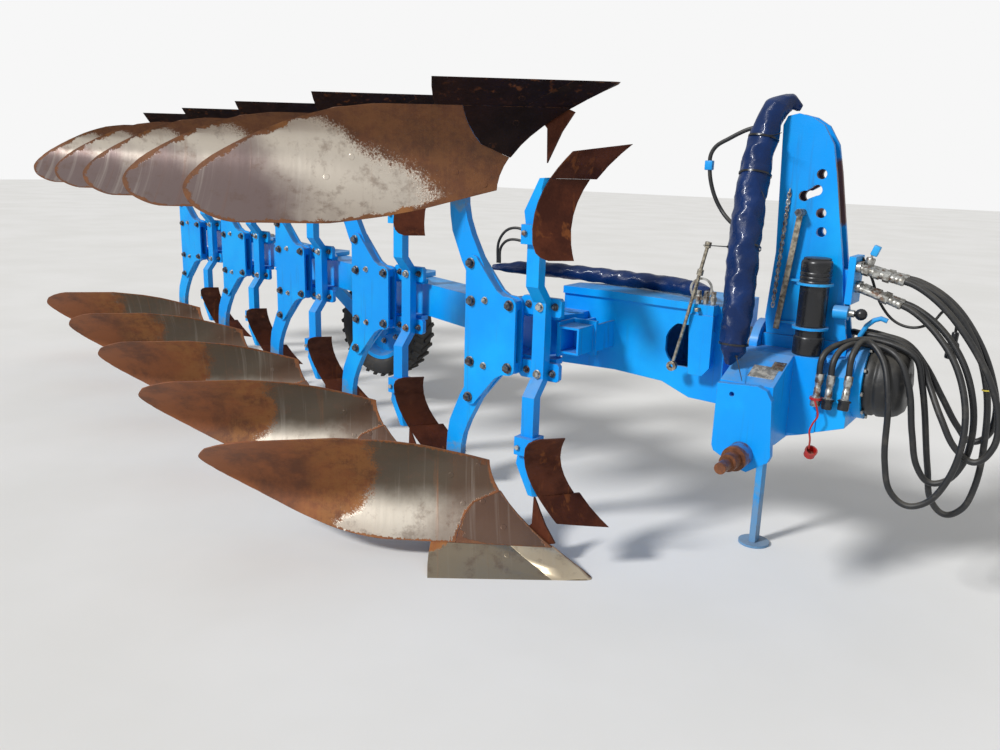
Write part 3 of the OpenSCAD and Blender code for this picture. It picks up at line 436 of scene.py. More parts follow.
@dataclass(frozen=True)
class Finish:
    """What every finish has: a name and the record's slot that it stands for."""

    name: str
    slot: Slot

    def make(self, effects: Effects) -> bpy.types.Material:
        """Builds the material.

        Args:
            effects: The shared shader groups.

        Returns:
            The material.
        """
        surface = Surface(self.name, effects)
        self.dress(surface)
        return surface.material

    def dress(self, on: Surface) -> None:
        """Fills the shader of a new surface, in each finish's own way."""
        raise NotImplementedError


@dataclass(frozen=True)
class Paint(Finish):
    """Machine paint that has faded, gathered dust and chipped at its edges."""

    fresh: Colour = tone(0, 147, 234)
    faded: Colour = tone(6, 162, 238)
    dust: float = 0.4
    chips: float = 0.5
    runs: float = 0.3
    soil_from: float = 9.0
    rubbed_ahead: float = 0.0

    def dress(self, on: Surface) -> None:
        """Fills the shader.

        Args:
            on: The new surface.
        """
        colour = on.mix(on.noise(3.0, 4.0, 0.6).ramp(0.38, 0.66), self.fresh, self.faded)
        colour = on.mix(on.runs(self.runs, 34.0), colour, tone(60, 78, 92))
        colour = on.mix(on.noise(95.0, 4.0, 0.75).ramp(0.68, 0.76) * 0.45, colour, tone(96, 88, 74))
        colour = on.mix(self.soiled(on), colour, tone(104, 138, 170))
        colour = on.mix(self.rubbed(on), colour, tone(104, 66, 44))
        dust = on.dust(self.dust, 7.0)
        chips = on.edge(self.chips, 0.0035)
        colour = on.mix(chips, on.mix(dust, colour, tone(150, 142, 126)), on.bloom(0.5, 9.0)[1])
        rough = on.noise(14.0).ramp(0.3, 0.7, 0.3, 0.46) + dust * 0.4
        on.fill(Base_Color=colour, Roughness=(rough + chips * 0.3).clamped(), Specular_IOR_Level=0.24,
                Coat_Weight=0.06, Coat_Roughness=0.2)
        on.relief(on.grain(170.0, 1.6), 0.0005, 0.0022)

    def soiled(self, on: Surface) -> Value:
        """Gives where soil has rubbed the paint thin, far above and below the turning axis."""
        off = abs(on.place.parts()[2] - AXIS_HEIGHT) + (on.noise(13.0, 6.0, 0.72) - 0.5) * 0.5
        return off.ramp(self.soil_from, self.soil_from + 0.1, 0.0, 0.85)

    def rubbed(self, on: Surface) -> Value:
        """Gives where a hitched top link has rubbed the front edges and the inner face down to rust.

        Args:
            on: The new surface.

        Returns:
            The mask of the rubbed stretch.
        """
        ahead, aside, _ = on.normal.parts()
        _, across, height = on.place.parts()
        ragged = height + on.noise(30.0, 4.0) * 0.06
        tall = ragged.ramp(1.3, 1.32) * ragged.ramp(1.5, 1.52, 1.0, 0.0)
        inner = aside.ramp(-0.7, -0.5, 1.0, 0.0) * across.ramp(-0.063, -0.053)
        return tall * ahead.ramp(0.5, 0.7).most(inner) * self.rubbed_ahead


@dataclass(frozen=True)
class SoilSteel(Finish):
    """Steel that the soil has polished in one stretch and rain has rusted elsewhere; its bare steel carries painted
    light and painted shade.

    The furrow attribute gives, in metres, how far forward a place lies on its own body, its height over
    the ground when that body works, and the body's number. The plate attribute gives, in metres, how far
    a place lies along the board and how far from the board's outline, and 1 where it faces the soil.
    """

    begin_at: float = -0.42
    end_at: float = 2.0
    slant: float = 0.3
    soft: float = 0.05
    rim: float = 0.008
    top_rust: float = 0.3
    stain: float = 0.5
    shine: float = 0.6
    # The next two set where the bare steel is painted in shade: above a height, and behind a place along the board.
    shade_above: float = 0.12
    shade_before: float = -9.0
    tarnish_from: float = -0.2
    combed: bool = True
    # The bare steel painted lit, and the same steel painted in shade.
    steel: Colour = tone(228, 218, 202)
    painted_shade: Colour = tone(96, 85, 72)
    rust: Colour = tone(142, 82, 42)
    dark: Colour = tone(100, 58, 34)

    def dress(self, on: Surface) -> None:
        """Fills the shader.

        Args:
            on: The new surface.
        """
        ahead, height, number = on.attribute("furrow")
        chord, outline, front = on.attribute("plate")
        cloud = on.noise(15.0, 5.0, 0.72)
        speckle = on.noise(150.0, 4.0, 0.75)
        drift = (on.noise(4.5, 5.0, 0.6) - 0.5) * 0.22
        along = ahead - height * self.slant + drift + number * 0.02
        flow = on.made("CombineXYZ", {0: chord, 1: height, 2: number})
        fine = on.noise(1.0, 4.0, 0.62, flow.stretched((95.0, 5.0, 5.0)))
        streaks = on.noise(1.0, 4.0, 0.62, flow.stretched((21.0, 0.7, 7.0)))
        polished = self.polish(along, height, outline, drift, fine if self.combed else cloud)
        doubt = (speckle - 0.5) * 1.5 + (cloud - 0.5) * 0.7
        polished = (polished + doubt).ramp(0.28, 0.68) * front
        polished = (polished * (1.0 - streaks.ramp(0.58, 0.7) * self.stain)).clamped()
        on.fill(Base_Color=on.mix(polished, self.rusted(on, along, cloud, fine, speckle),
                                  self.bared(on, along, height, drift, cloud, streaks)),
                Metallic=polished * self.shine,
                Roughness=on.mix(polished, (0.7, 0.7, 0.7, 1.0), fine * 0.2 + 0.24))
        on.relief(speckle * (1.1 - polished), 0.0011, 0.0015)

    def polish(self, along: Value, height: Value, outline: Value, drift: Value, fine: Value) -> Value:
        """Gives how far the soil has polished a place.

        Args:
            along: How far forward, slanted with height.
            height: The height on the body.
            outline: The distance from the outline.
            drift: Slow noise that makes limits wander.
            fine: Fine noise for the ragged rim.

        Returns:
            The polish, from 0 to 1.
        """
        rise = along.ramp(self.begin_at, self.begin_at + self.soft)
        fall = along.ramp(self.end_at, self.end_at + self.soft * 2, 1.0, 0.0)
        polished = rise * fall * (height + drift * 0.4).ramp(0.36, 0.44, 1.0, 1.0 - self.top_rust)
        if self.rim:
            ragged = outline + (fine - 0.5) * (self.rim * -4.5)
            polished = polished * ragged.ramp(self.rim * 0.3, self.rim * 1.4)
        return polished

    def rusted(self, on: Surface, along: Value, cloud: Value, fine: Value, speckle: Value) -> Value:
        """Gives the colour of the rust, with a paler fringe where the polished stretch begins and ends.

        Args:
            on: The new surface.
            along: How far forward, slanted with height.
            cloud: Middling noise.
            fine: Fine noise along the plate.
            speckle: The finest noise.

        Returns:
            The colour.
        """
        rust = on.mix(on.noise(5.0, 6.0, 0.7).ramp(0.4, 0.68), self.rust, self.dark)
        first = (along.ramp(self.begin_at - 0.18, self.begin_at)
                 * along.ramp(self.begin_at, self.begin_at + 0.5, 1.0, 0.35))
        last = along.ramp(self.end_at - 0.15, self.end_at) * along.ramp(self.end_at, self.end_at + 0.22, 1.0, 0.0)
        fringe = first.most(last) * (cloud + fine * 0.25).ramp(0.5, 0.74, 0.1, 0.75)
        rust = on.mix(fringe, rust, tone(158, 104, 52))
        return on.mix(speckle.ramp(0.6, 0.75, 0.0, 0.45), rust, tone(58, 36, 26))

    def bared(self, on: Surface, along: Value, height: Value, drift: Value, cloud: Value, streaks: Value) -> Value:
        """Gives the colour of the bare steel: lit steel with painted shade higher up and towards the rear, plus
        tarnish and bright streaks.

        Args:
            on: The new surface.
            along: How far forward, slanted with height.
            height: The height on the body.
            drift: Slow noise that makes limits wander.
            cloud: Middling noise.
            streaks: Noise drawn out along the way that rain runs down.

        Returns:
            The colour.
        """
        # Painted shade: the steel takes its painted shade colour above a set height and behind a set place along the
        # board; on the upper boards the lit stretch before the rust is a painted sheen band.
        high = (height + drift * 0.5).ramp(self.shade_above, self.shade_above + 0.14)
        dull = along.ramp(self.shade_before - 0.14, self.shade_before + 0.06, 1.0, 0.0)
        steel = on.mix(high.most(dull), self.steel, self.painted_shade)
        steel = on.mix(cloud.ramp(0.5, 0.7, 0.0, 0.5), steel, tone(112, 88, 74))
        tarnish = along.ramp(self.tarnish_from, self.tarnish_from + 0.16, 0.0, 0.62)
        steel = on.mix(tarnish, steel, tone(104, 76, 60))
        return on.mix(streaks.ramp(0.3, 0.46, 0.22, 0.0), steel, tone(222, 214, 202))


@dataclass(frozen=True)
class Rust(Finish):
    """Rusted steel, dull all over, with paler rubbed edges."""

    base: Colour = tone(88, 45, 28)
    deep: Colour = tone(60, 28, 18)
    orange: float = 0.22
    sheen: float = 0.1

    def dress(self, on: Surface) -> None:
        """Fills the shader.

        Args:
            on: The new surface.
        """
        colour = on.mix(on.noise(6.0, 6.0, 0.7).ramp(0.36, 0.64), self.base, self.deep)
        mask, orange = on.bloom(self.orange, 8.0)
        colour = on.mix(mask, colour, orange)
        colour = on.mix(on.runs(0.6, 30.0), colour, tone(134, 78, 40))
        colour = on.mix(on.edge(0.5, 0.003), colour, tone(136, 92, 62))
        on.fill(Base_Color=colour, Metallic=self.sheen, Roughness=on.noise(12.0, 4.0).ramp(0.3, 0.7, 0.42, 0.72),
                Specular_IOR_Level=0.16)
        on.relief(on.grain(130.0, 1.0), 0.0009, 0.0015)


@dataclass(frozen=True)
class AxleSteel(Finish):
    """Link axle: worn paint at its collars, rust on its shoulders and rubbed steel at its ends."""

    middle: float = -0.0634
    paint_to: float = 0.405
    rust_to: float = 0.56

    def dress(self, on: Surface) -> None:
        """Fills the shader.

        Args:
            on: The new surface.
        """
        ragged = abs(on.place.parts()[1] - self.middle) + (on.noise(40.0, 5.0, 0.7) - 0.5) * 0.05
        mask, orange = on.bloom(0.6, 22.0)
        rust = on.mix(mask, tone(104, 62, 40), orange)
        steel = on.mix(on.noise(50.0, 4.0).ramp(0.4, 0.65), tone(118, 124, 126), rust)
        paint = on.mix(on.noise(34.0, 5.0, 0.7).ramp(0.48, 0.62), tone(64, 122, 178), rust)
        colour = on.mix(ragged.ramp(self.paint_to, self.paint_to + 0.012), paint, rust)
        on.fill(Base_Color=on.mix(ragged.ramp(self.rust_to, self.rust_to + 0.02), colour, steel), Metallic=0.2,
                Roughness=on.noise(30.0, 4.0).ramp(0.3, 0.7, 0.34, 0.66))
        on.relief(on.grain(150.0, 0.6), 0.0008, 0.0015)


@dataclass(frozen=True)
class Zinc(Finish):
    """Bare or zinc-coated steel that has dulled and holds some dirt."""

    bright: Colour = tone(186, 186, 182)
    dull: Colour = tone(128, 124, 116)
    dirt: float = 0.35

    def dress(self, on: Surface) -> None:
        """Fills the shader.

        Args:
            on: The new surface.
        """
        colour = on.mix(on.noise(60.0, 3.0).ramp(0.38, 0.62), self.bright, self.dull)
        mask, brown = on.bloom(self.dirt, 30.0)
        on.fill(Base_Color=on.mix(mask * 0.7, colour, brown), Metallic=0.75,
                Roughness=on.noise(45.0, 4.0).ramp(0.3, 0.7, 0.26, 0.52))
        on.relief(on.grain(300.0, 0.2), 0.0002, 0.0008)


@dataclass(frozen=True)
class Rubber(Finish):
    """Rubber or hard plastic with a grey bloom of dust."""

    base: Colour = tone(30, 31, 33)
    bloom: Colour = tone(92, 88, 80)
    dust: float = 0.6
    roughness: float = 0.5
    grain: float = 220.0
    depth: float = 0.0004

    def dress(self, on: Surface) -> None:
        """Fills the shader.

        Args:
            on: The new surface.
        """
        smear = on.noise(18.0, 5.0, 0.7).ramp(0.5, 0.74, 0.0, 0.35)
        grey = on.dust(self.dust, 14.0).most(smear)
        on.fill(Base_Color=on.mix(grey, self.base, self.bloom),
                Roughness=(grey * 0.45 + (self.roughness - 0.08)).clamped())
        on.relief(on.grain(self.grain, 0.6), self.depth)


@dataclass(frozen=True)
class Vinyl(Finish):
    """Glossy coated cloth of the hose sleeves, with its weave just showing."""

    base: Colour = tone(0, 33, 80)
    worn: Colour = tone(4, 42, 96)
    dust: float = 0.05

    def dress(self, on: Surface) -> None:
        """Fills the shader.

        Args:
            on: The new surface.
        """
        colour = on.mix(on.noise(10.0, 5.0, 0.65).ramp(0.4, 0.68), self.base, self.worn)
        dust = on.dust(self.dust, 12.0)
        on.fill(Base_Color=on.mix(dust, colour, tone(118, 122, 128)), Specular_IOR_Level=0.25, Coat_Weight=0.15,
                Coat_Roughness=0.08, Roughness=on.noise(25.0).ramp(0.3, 0.7, 0.22, 0.36) + dust * 0.4)
        weave = on.add("TexWave", {"Vector": on.place, "Scale": 160.0}, wave_type="BANDS", bands_direction="DIAGONAL")
        on.relief(Value(on, weave.outputs[1]) * 0.12 + on.noise(26.0, 3.0) * 1.6, 0.0022)


@dataclass(frozen=True)
class Plastic(Finish):
    """Small coloured plastic parts, such as dust caps and ties."""

    base: Colour = tone(176, 24, 20)

    def dress(self, on: Surface) -> None:
        """Fills the shader.

        Args:
            on: The new surface.
        """
        worn = on.mix(on.noise(40.0, 3.0).ramp(0.4, 0.7, 0.0, 0.4), self.base, tone(110, 88, 74))
        on.fill(Base_Color=on.mix(on.dust(0.5, 20.0), worn, tone(140, 130, 116)), Roughness=0.42)
        on.relief(on.grain(260.0, 0.4), 0.0003)


@dataclass
class Paintshop:
    """Makes each finish once and puts it on what needs it."""

    effects: Effects = field(default_factory=Effects)
    made: dict[Finish, bpy.types.Material] = field(default_factory=dict)

    blue = Paint("Blue paint", Slot.PAINT)
    bright_blue = Paint("Bright blue paint", Slot.BRIGHT_PAINT, tone(20, 148, 226), tone(50, 166, 230), 0.35, 0.8, 0.3)
    shank_blue = Paint("Soil-worn blue paint", Slot.PAINT, soil_from=0.4)
    tower_blue = Paint("Tower paint", Slot.PAINT, rubbed_ahead=0.95)
    leg_blue = Paint("Leg paint", Slot.BRIGHT_PAINT, tone(40, 140, 208), tone(84, 162, 212), 0.35, 0.9, 0.4, 0.62)
    # The bare steel of these plates is painted lit low down and painted in shade above a set height; the upper boards
    # instead have a painted sheen band before the rust and painted shade over the tail.
    lower_board = SoilSteel("Soil-worn board steel", Slot.MOLDBOARD, begin_at=-0.45, soft=0.12)
    lower_shin = SoilSteel(
        "Soil-worn shin steel", Slot.MOLDBOARD, rim=0.004, stain=0.3, shade_above=0.04, tarnish_from=-0.4, top_rust=0.5,
        steel=tone(136, 116, 103), painted_shade=tone(90, 71, 62), rust=tone(102, 64, 44))
    upper_board = SoilSteel(
        "Weathered board steel", Slot.RUSTY, begin_at=-9.0, end_at=-0.7, slant=1.2, soft=0.13, rim=0.018, top_rust=0.1,
        stain=0.25, shade_above=9.0, shade_before=-0.87, tarnish_from=9.0, combed=False, steel=tone(208, 198, 184),
        painted_shade=tone(126, 109, 106), rust=tone(104, 60, 32), dark=tone(80, 46, 26))
    share = SoilSteel(
        "Bright share steel", Slot.SHARE, begin_at=-0.02, slant=0.0, soft=0.03, rim=0.0, top_rust=0.0, stain=0.3,
        shade_above=0.04, tarnish_from=9.0, steel=tone(150, 137, 116), painted_shade=tone(108, 95, 78))
    point = SoilSteel(
        "Bright point steel", Slot.SHARE, begin_at=-0.02, slant=0.0, soft=0.03, rim=0.0, top_rust=0.0, stain=0.15,
        shade_above=0.07, tarnish_from=9.0, steel=tone(206, 190, 162), painted_shade=tone(160, 146, 124))
    brown_rust = Rust("Brown rust", Slot.RUSTY)
    dark_rust = Rust("Dark rust", Slot.DARK_RUST, tone(34, 14, 10), tone(22, 8, 6), 0.06, 0.1)
    axle = AxleSteel("Link axle steel", Slot.RUSTY)
    zinc = Zinc("Zinc", Slot.BRIGHT)
    bolt_steel = Zinc("Dull bolt steel", Slot.BRIGHT, tone(104, 108, 114), tone(62, 62, 66), 0.3)
    bar_steel = Zinc("Bar steel", Slot.BRIGHT, tone(150, 142, 130), tone(104, 92, 80), 0.4)
    rod_steel = Zinc("Rod steel", Slot.BRIGHT, tone(178, 170, 152), tone(122, 112, 98), 0.12)
    worn_plate = Zinc("Worn type plate", Slot.BRIGHT, tone(206, 202, 192), tone(150, 148, 142), 0.16)
    hose = Rubber("Hose rubber", Slot.RUBBER)
    tyre = Rubber("Tyre rubber", Slot.TYRE, tone(38, 37, 36), tone(104, 96, 84), 0.7, 0.75, 90.0, 0.0007)
    black = Rubber("Black plastic", Slot.PLASTIC, tone(26, 27, 30), tone(80, 80, 82), 0.4, 0.34, 140.0, 0.0003)
    vinyl = Vinyl("Navy vinyl", Slot.VINYL)
    red = Plastic("Red plastic", Slot.PLASTIC)
    yellow = Plastic("Yellow tie", Slot.PLASTIC, tone(206, 190, 70))
    usual = (blue, bright_blue, lower_board, brown_rust, dark_rust, share, zinc, hose, tyre, black, vinyl)
    special = {"shanks": shank_blue, "tower_plates": tower_blue, "stand_leg": leg_blue, "link_axle": axle,
               "lock_lever": rod_steel}

    def material(self, finish: Finish) -> bpy.types.Material:
        """Gives a finish's material, made the first time it is asked for.

        Args:
            finish: The finish.

        Returns:
            Its material.
        """
        if finish not in self.made:
            self.made[finish] = finish.make(self.effects)
        return self.made[finish]

    def dress_nodes(self) -> int:
        """Puts a finish on every CAD node, by its slot in the record.

        Returns:
            How many nodes were dressed.
        """
        by_slot = {finish.slot.value: finish for finish in self.usual}
        for part in frame["record"]["subparts"]:
            material = self.material(self.special.get(part["node"], by_slot[part["material_slot"]]))
            for place in frame["nodes"][part["node"]].material_slots:
                place.link = "OBJECT"
                place.material = material
        return len(frame["record"]["subparts"])


@dataclass(frozen=True)
class Datum:
    """Turns millimetres on the plough's own datum into metres in the row frame."""

    origin: Vector

    @classmethod
    def from_frame(cls) -> "Datum":
        """Finds the datum from the rubber cap, whose place on it is known.

        Returns:
            The datum.
        """
        low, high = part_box("nose_cap")
        return cls(Vector((high.x - 1.395, (low.y + high.y) / 2 - 0.5, 0.0)))

    def at(self, x: float, y: float, z: float) -> Vector:
        """Gives a place in the row frame, forward, to the left and up."""
        return self.origin + Vector((x, y, z)) * MM

    def path(self, points: Sequence[Point]) -> list[Vector]:
        """Gives many places in the row frame."""
        return [self.at(*point) for point in points]

    def body(self, number: int) -> Vector:
        """Gives the origin of a plough body, counted from the front."""
        return self.origin + BODY_STEP * number


def standing(place: Vector, axis: Vector) -> Matrix:
    """Gives the matrix that moves a shape to a place and turns its Z axis along another."""
    return Matrix.Translation(place) @ axis.to_track_quat("Z", "Y").to_matrix().to_4x4()


def ring(inner: float, outer: float, half: float) -> Profile:
    """Gives the profile of a flat ring, in millimetres."""
    return [(inner, -half), (outer, -half), (outer, half), (inner, half), (inner, -half)]


def link(item: bpy.types.Object) -> bpy.types.Object:
    """Puts an object into the scene."""
    bpy.context.scene.collection.objects.link(item)
    return item


@dataclass
class Shape:
    """A mesh that forms are added to, one after another."""

    bm: BMesh = field(default_factory=bmesh.new)

    def rod(self, start: Vector, end: Vector, diameter: float, sides: int, taper: float = 1.0) -> "Shape":
        """Adds a rod.

        Args:
            start: One end's middle.
            end: The other end's middle.
            diameter: Over the corners, in metres.
            sides: Sides round it.
            taper: The end's diameter as a share of the start's.

        Returns:
            The shape itself.
        """
        radius = diameter / 2
        bmesh.ops.create_cone(self.bm, cap_ends=True, segments=sides, radius1=radius, radius2=radius * taper,
                              depth=(end - start).length, matrix=standing((start + end) / 2, end - start))
        return self

    def hexagon(self, place: Vector, axis: Vector, low: float, high: float, flats: float,
                taper: float = 1.0) -> "Shape":
        """Adds a nut between two distances along an axis, all in millimetres."""
        start, end = (place + axis.normalized() * along * MM for along in (low, high))
        return self.rod(start, end, 2 * HEX_RADIUS * flats * MM, 6, taper)

    def block(self, low: Vector, high: Vector, round_off: float, turn: Matrix | None = None) -> "Shape":
        """Adds a box between two corners.

        Args:
            low: The lowest corner.
            high: The highest corner.
            round_off: Width of the bevel on its edges.
            turn: A matrix that moves it after it is made.

        Returns:
            The shape itself.
        """
        matrix = Matrix.Translation((low + high) / 2) @ Matrix.Diagonal((*(high - low), 1.0))
        made = bmesh.ops.create_cube(self.bm, size=1.0, matrix=(turn or Matrix()) @ matrix)
        edges = list({edge for vert in made["verts"] for edge in vert.link_edges})
        bmesh.ops.bevel(self.bm, geom=edges, offset=round_off, segments=2, affect="EDGES", profile=0.5, material=-1)
        return self

    def turned(self, profile: Profile, place: Vector, axis: Vector = UP, steps: int = 28) -> "Shape":
        """Adds a lathe-turned form.

        Args:
            profile: Radius and distance along the axis, in millimetres, from one end to the other.
            place: Where the axis starts.
            axis: Where the axis points.
            steps: Sides round it.

        Returns:
            The shape itself.
        """
        part = bmesh.new()
        verts = [part.verts.new((radius * MM, 0.0, along * MM)) for radius, along in profile]
        edges = [part.edges.new(pair) for pair in zip(verts, verts[1:])]
        return self.spun(part, verts + edges, steps).joined(part, standing(place, axis))

    def spun(self, part: BMesh, geom: list[BMVert | BMEdge], steps: int,
             scale: Point = (1.0, 1.0, 1.0)) -> "Shape":
        """Turns an outline once round the Z axis.

        Args:
            part: The mesh that holds the outline.
            geom: The outline's vertices and edges.
            steps: Sides round it.
            scale: How the result is stretched.

        Returns:
            The shape itself.
        """
        bmesh.ops.spin(part, geom=geom, cent=(0, 0, 0), axis=UP, angle=2 * math.pi, steps=steps, use_merge=True,
                       use_duplicate=False)
        bmesh.ops.remove_doubles(part, verts=part.verts, dist=1e-6)
        bmesh.ops.scale(part, vec=scale, verts=part.verts)
        bmesh.ops.recalc_face_normals(part, faces=part.faces)
        return self

    def joined(self, part: BMesh, matrix: Matrix) -> "Shape":
        """Moves a part and adds it.

        Args:
            part: The part, which is used up.
            matrix: Where it goes.

        Returns:
            The shape itself.
        """
        part.transform(matrix)
        carrier = bpy.data.meshes.new("carrier")
        part.to_mesh(carrier)
        part.free()
        self.bm.from_mesh(carrier)
        bpy.data.meshes.remove(carrier)
        return self

    def bolt(self, flats: float, place: Vector, axis: Vector, washer: bool = True, thread: bool = False) -> "Shape":
        """Adds a hexagon bolt's head, or its nut with the thread's end.

        Args:
            flats: Width across its flats, in millimetres.
            place: The middle of its seat.
            axis: Out of the surface.
            washer: Puts it on a washer.
            thread: Makes it a nut with the thread's end.

        Returns:
            The shape itself.
        """
        base, tall = flats * 0.12 if washer else 0.0, flats * (0.5 if thread else 0.56)
        if washer:
            wide, slim = flats * 0.76, flats * 0.71
            self.turned([(0, -1), (wide, -1), (wide, flats * 0.09), (slim, base), (0, base)], place, axis, 20)
        seat = place + axis.normalized() * base * MM
        self.hexagon(seat, axis, 0.0, tall * 0.82, flats).hexagon(seat, axis, tall * 0.82, tall, flats, 0.84)
        if thread:
            wide, slim, top = flats * 0.31, flats * 0.25, tall + flats * 0.3
            self.turned([(0, 0), (wide, 0), (wide, tall + flats * 0.22), (slim, top), (0, top)], seat, axis, 12)
        return self


@dataclass
class Bench:
    """Where each piece is finished: its mesh, its shading, its finish and what it rides on."""

    shop: Paintshop
    datum: Datum
    count: int = 0
    line_steps: int = 12

    def piece(self, name: str, shape: Shape, finish: Finish, body: Body = Body.HEADSTOCK, angle: float = 35.0,
              normals: bool = True) -> bpy.types.Object:
        """Makes an object of a shape, dressed and riding.

        Args:
            name: The piece's name.
            shape: Its shape, which is used up.
            finish: Its finish.
            body: The body it rides on.
            angle: Edges sharper than this, in degrees, stay sharp.
            normals: Turns the faces outwards.

        Returns:
            The object.
        """
        if normals:
            bmesh.ops.recalc_face_normals(shape.bm, faces=shape.bm.faces)
        mesh = bpy.data.meshes.new(name)
        shape.bm.to_mesh(mesh)
        shape.bm.free()
        mesh.shade_smooth()
        mesh.set_sharp_from_angle(angle=math.radians(angle))
        return self.show(name, mesh, finish, body)

    def show(self, name: str, data: bpy.types.ID, finish: Finish, body: Body) -> bpy.types.Object:
        """Shows finished data as a piece.

        Args:
            name: The piece's name.
            data: A mesh or a curve.
            finish: Its finish.
            body: The body it rides on.

        Returns:
            The object.
        """
        item = link(bpy.data.objects.new(name, data))
        data.materials.clear()
        data.materials.append(self.shop.material(finish))
        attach(item, body.value)
        self.count += 1
        return item

    def curve(self, name: str, route: Sequence[Vector], radius: float, radii: Sequence[float] = (),
              sides: int = 5) -> bpy.types.Curve:
        """Makes a round curve that runs smoothly through its points.

        Args:
            name: The curve's name.
            route: The points, in metres.
            radius: Its radius, in metres.
            radii: A share of the radius for each point, or nothing for a plain curve.
            sides: Blender's bevel resolution.

        Returns:
            The curve.
        """
        data = bpy.data.curves.new(name, "CURVE")
        data.dimensions = "3D"
        data.bevel_depth, data.bevel_resolution, data.resolution_u = radius, sides, 10
        data.use_fill_caps = not radii
        spline = data.splines.new("BEZIER")
        spline.bezier_points.add(len(route) - 1)
        for index, knot in enumerate(spline.bezier_points):
            here, before, after = route[index], route[max(index - 1, 0)], route[min(index + 1, len(route) - 1)]
            heading = ((after - here).normalized() + (here - before).normalized()).normalized()
            knot.handle_left_type = knot.handle_right_type = "FREE"
            knot.co = here
            knot.handle_left = here - heading * (here - before).length / 3
            knot.handle_right = here + heading * (after - here).length / 3
            knot.radius = radii[index] if radii else 1.0
        return data

    def line(self, data: bpy.types.Curve) -> list[Vector]:
        """Gives the points that a curve runs through.

        Args:
            data: The curve.

        Returns:
            The points in order.
        """
        knots = data.splines[0].bezier_points
        points: list[Vector] = []
        for one, two in zip(knots, knots[1:]):
            handles = one.co, one.handle_right, two.handle_left, two.co
            points += interpolate_bezier(*handles, self.line_steps + 1)[:-1]
        return points + [knots[-1].co.copy()]

    def cord(self, name: str, points: Sequence[Point], diameter: float, far_end: str, stiffness: str = "stiff",
             lay: str = "hanging", finish: Finish = Paintshop.hose, body: Body = Body.HEADSTOCK,
             with_pieces: Sequence[bpy.types.Object] = ()) -> bpy.types.Object:
        """Makes a free hose or cable.

        Args:
            name: The piece's name.
            points: Its points on the datum.
            diameter: In millimetres.
            far_end: What is at its far end; not used.
            stiffness: How stiff it is; not used.
            lay: How it lies; not used.
            finish: Its finish.
            body: The body it rides on.
            with_pieces: The pieces on it; not used.

        Returns:
            The curve's object.
        """
        route = self.datum.path(points)
        data = self.curve(name, route, diameter * MM / 2)
        line = self.line(data)
        item = self.show(name, data, finish, body)
        return item

    def skin(self, data: bpy.types.Curve) -> BMesh:
        """Makes a curve's skin.

        Args:
            data: The curve, which is used up.

        Returns:
            The skin's mesh.
        """
        holder = link(bpy.data.objects.new(data.name, data))
        mesh = bpy.data.meshes.new_from_object(holder.evaluated_get(bpy.context.evaluated_depsgraph_get()))
        bm = bmesh.new()
        bm.from_mesh(mesh)
        bpy.data.objects.remove(holder)
        bpy.data.curves.remove(data)
        bpy.data.meshes.remove(mesh)
        return bm


@dataclass
class Studio:
    """Plain pale floor, soft light and the camera where the photograph was taken."""

    camera_at: Point = (3.3333, -3.0269, 1.4463)
    right: Point = (0.8177, 0.5751, 0.0278)
    up: Point = (-0.1596, 0.1800, 0.9707)
    lens: float = 31.12
    sensor: float = 36.0
    clip: tuple[float, float] = (0.05, 200.0)
    sun_from: Point = (-0.32, -0.8, 0.62)
    sun_power: float = 2.9
    sun_angle: float = 9.0
    sky_power: float = 0.42
    sky_mirrored: float = 0.6
    sky_seen: float = 0.93
    floor_size: float = 40.0

    def camera(self) -> None:
        """Sets the camera up."""
        data = bpy.data.cameras.new("Camera")
        data.lens, data.sensor_width, data.sensor_fit = self.lens, self.sensor, "HORIZONTAL"
        data.clip_start, data.clip_end = self.clip
        item = link(bpy.data.objects.new("Camera", data))
        right, up = Vector(self.right).normalized(), Vector(self.up).normalized()
        up = (up - right * up.dot(right)).normalized()
        turn = Matrix((right, up, right.cross(up))).transposed()
        item.matrix_world = Matrix.Translation(self.camera_at) @ turn.to_4x4()
        bpy.context.scene.camera = item

    def light(self) -> None:
        """Sets the soft sun and the even sky, which is white where it is looked at."""
        sun = bpy.data.lights.new("Key", "SUN")
        sun.energy, sun.angle = self.sun_power, math.radians(self.sun_angle)
        item = link(bpy.data.objects.new("Key", sun))
        item.rotation_euler = Vector(self.sun_from).to_track_quat("Z", "Y").to_euler()
        world = bpy.data.worlds.new("Studio")
        bpy.context.scene.world = world
        world.use_nodes = True
        graph = Graph(world.node_tree)
        path = graph.add("LightPath")
        seen, passed, glossy = (Value(graph, path.outputs[f"Is {kind} Ray"])
                                for kind in ("Camera", "Transmission", "Glossy"))
        mirrored = glossy.ramp(0.0, 1.0, self.sky_power, self.sky_mirrored)
        sky = world.node_tree.nodes["Background"]
        graph.feed(sky.inputs["Strength"], seen.most(passed).ramp(0.0, 1.0, mirrored, self.sky_seen))
        sky.inputs["Color"].default_value = (1.0, 1.0, 1.0, 1.0)

    def floor(self, effects: Effects) -> None:
        """Lays the floor.

        Args:
            effects: The shared shader groups.
        """
        bm = bmesh.new()
        bmesh.ops.create_grid(bm, x_segments=1, y_segments=1, size=self.floor_size)
        mesh = bpy.data.meshes.new("Floor")
        bm.to_mesh(mesh)
        bm.free()
        on = Surface("Pale floor", effects)
        cloud = on.noise(0.8, 4.0).ramp(0.3, 0.7)
        on.fill(Base_Color=on.mix(cloud, tone(226, 225, 222), tone(232, 231, 229)), Roughness=0.9,
                Specular_IOR_Level=0.1)
        mesh.materials.append(on.material)
        link(bpy.data.objects.new("Floor", mesh))

    def build(self, effects: Effects) -> None:
        """Sets the whole studio up.

        Args:
            effects: The shared shader groups.
        """
        bpy.context.scene.view_settings.view_transform = "Standard"
        self.camera()
        self.light()
        self.floor(effects)


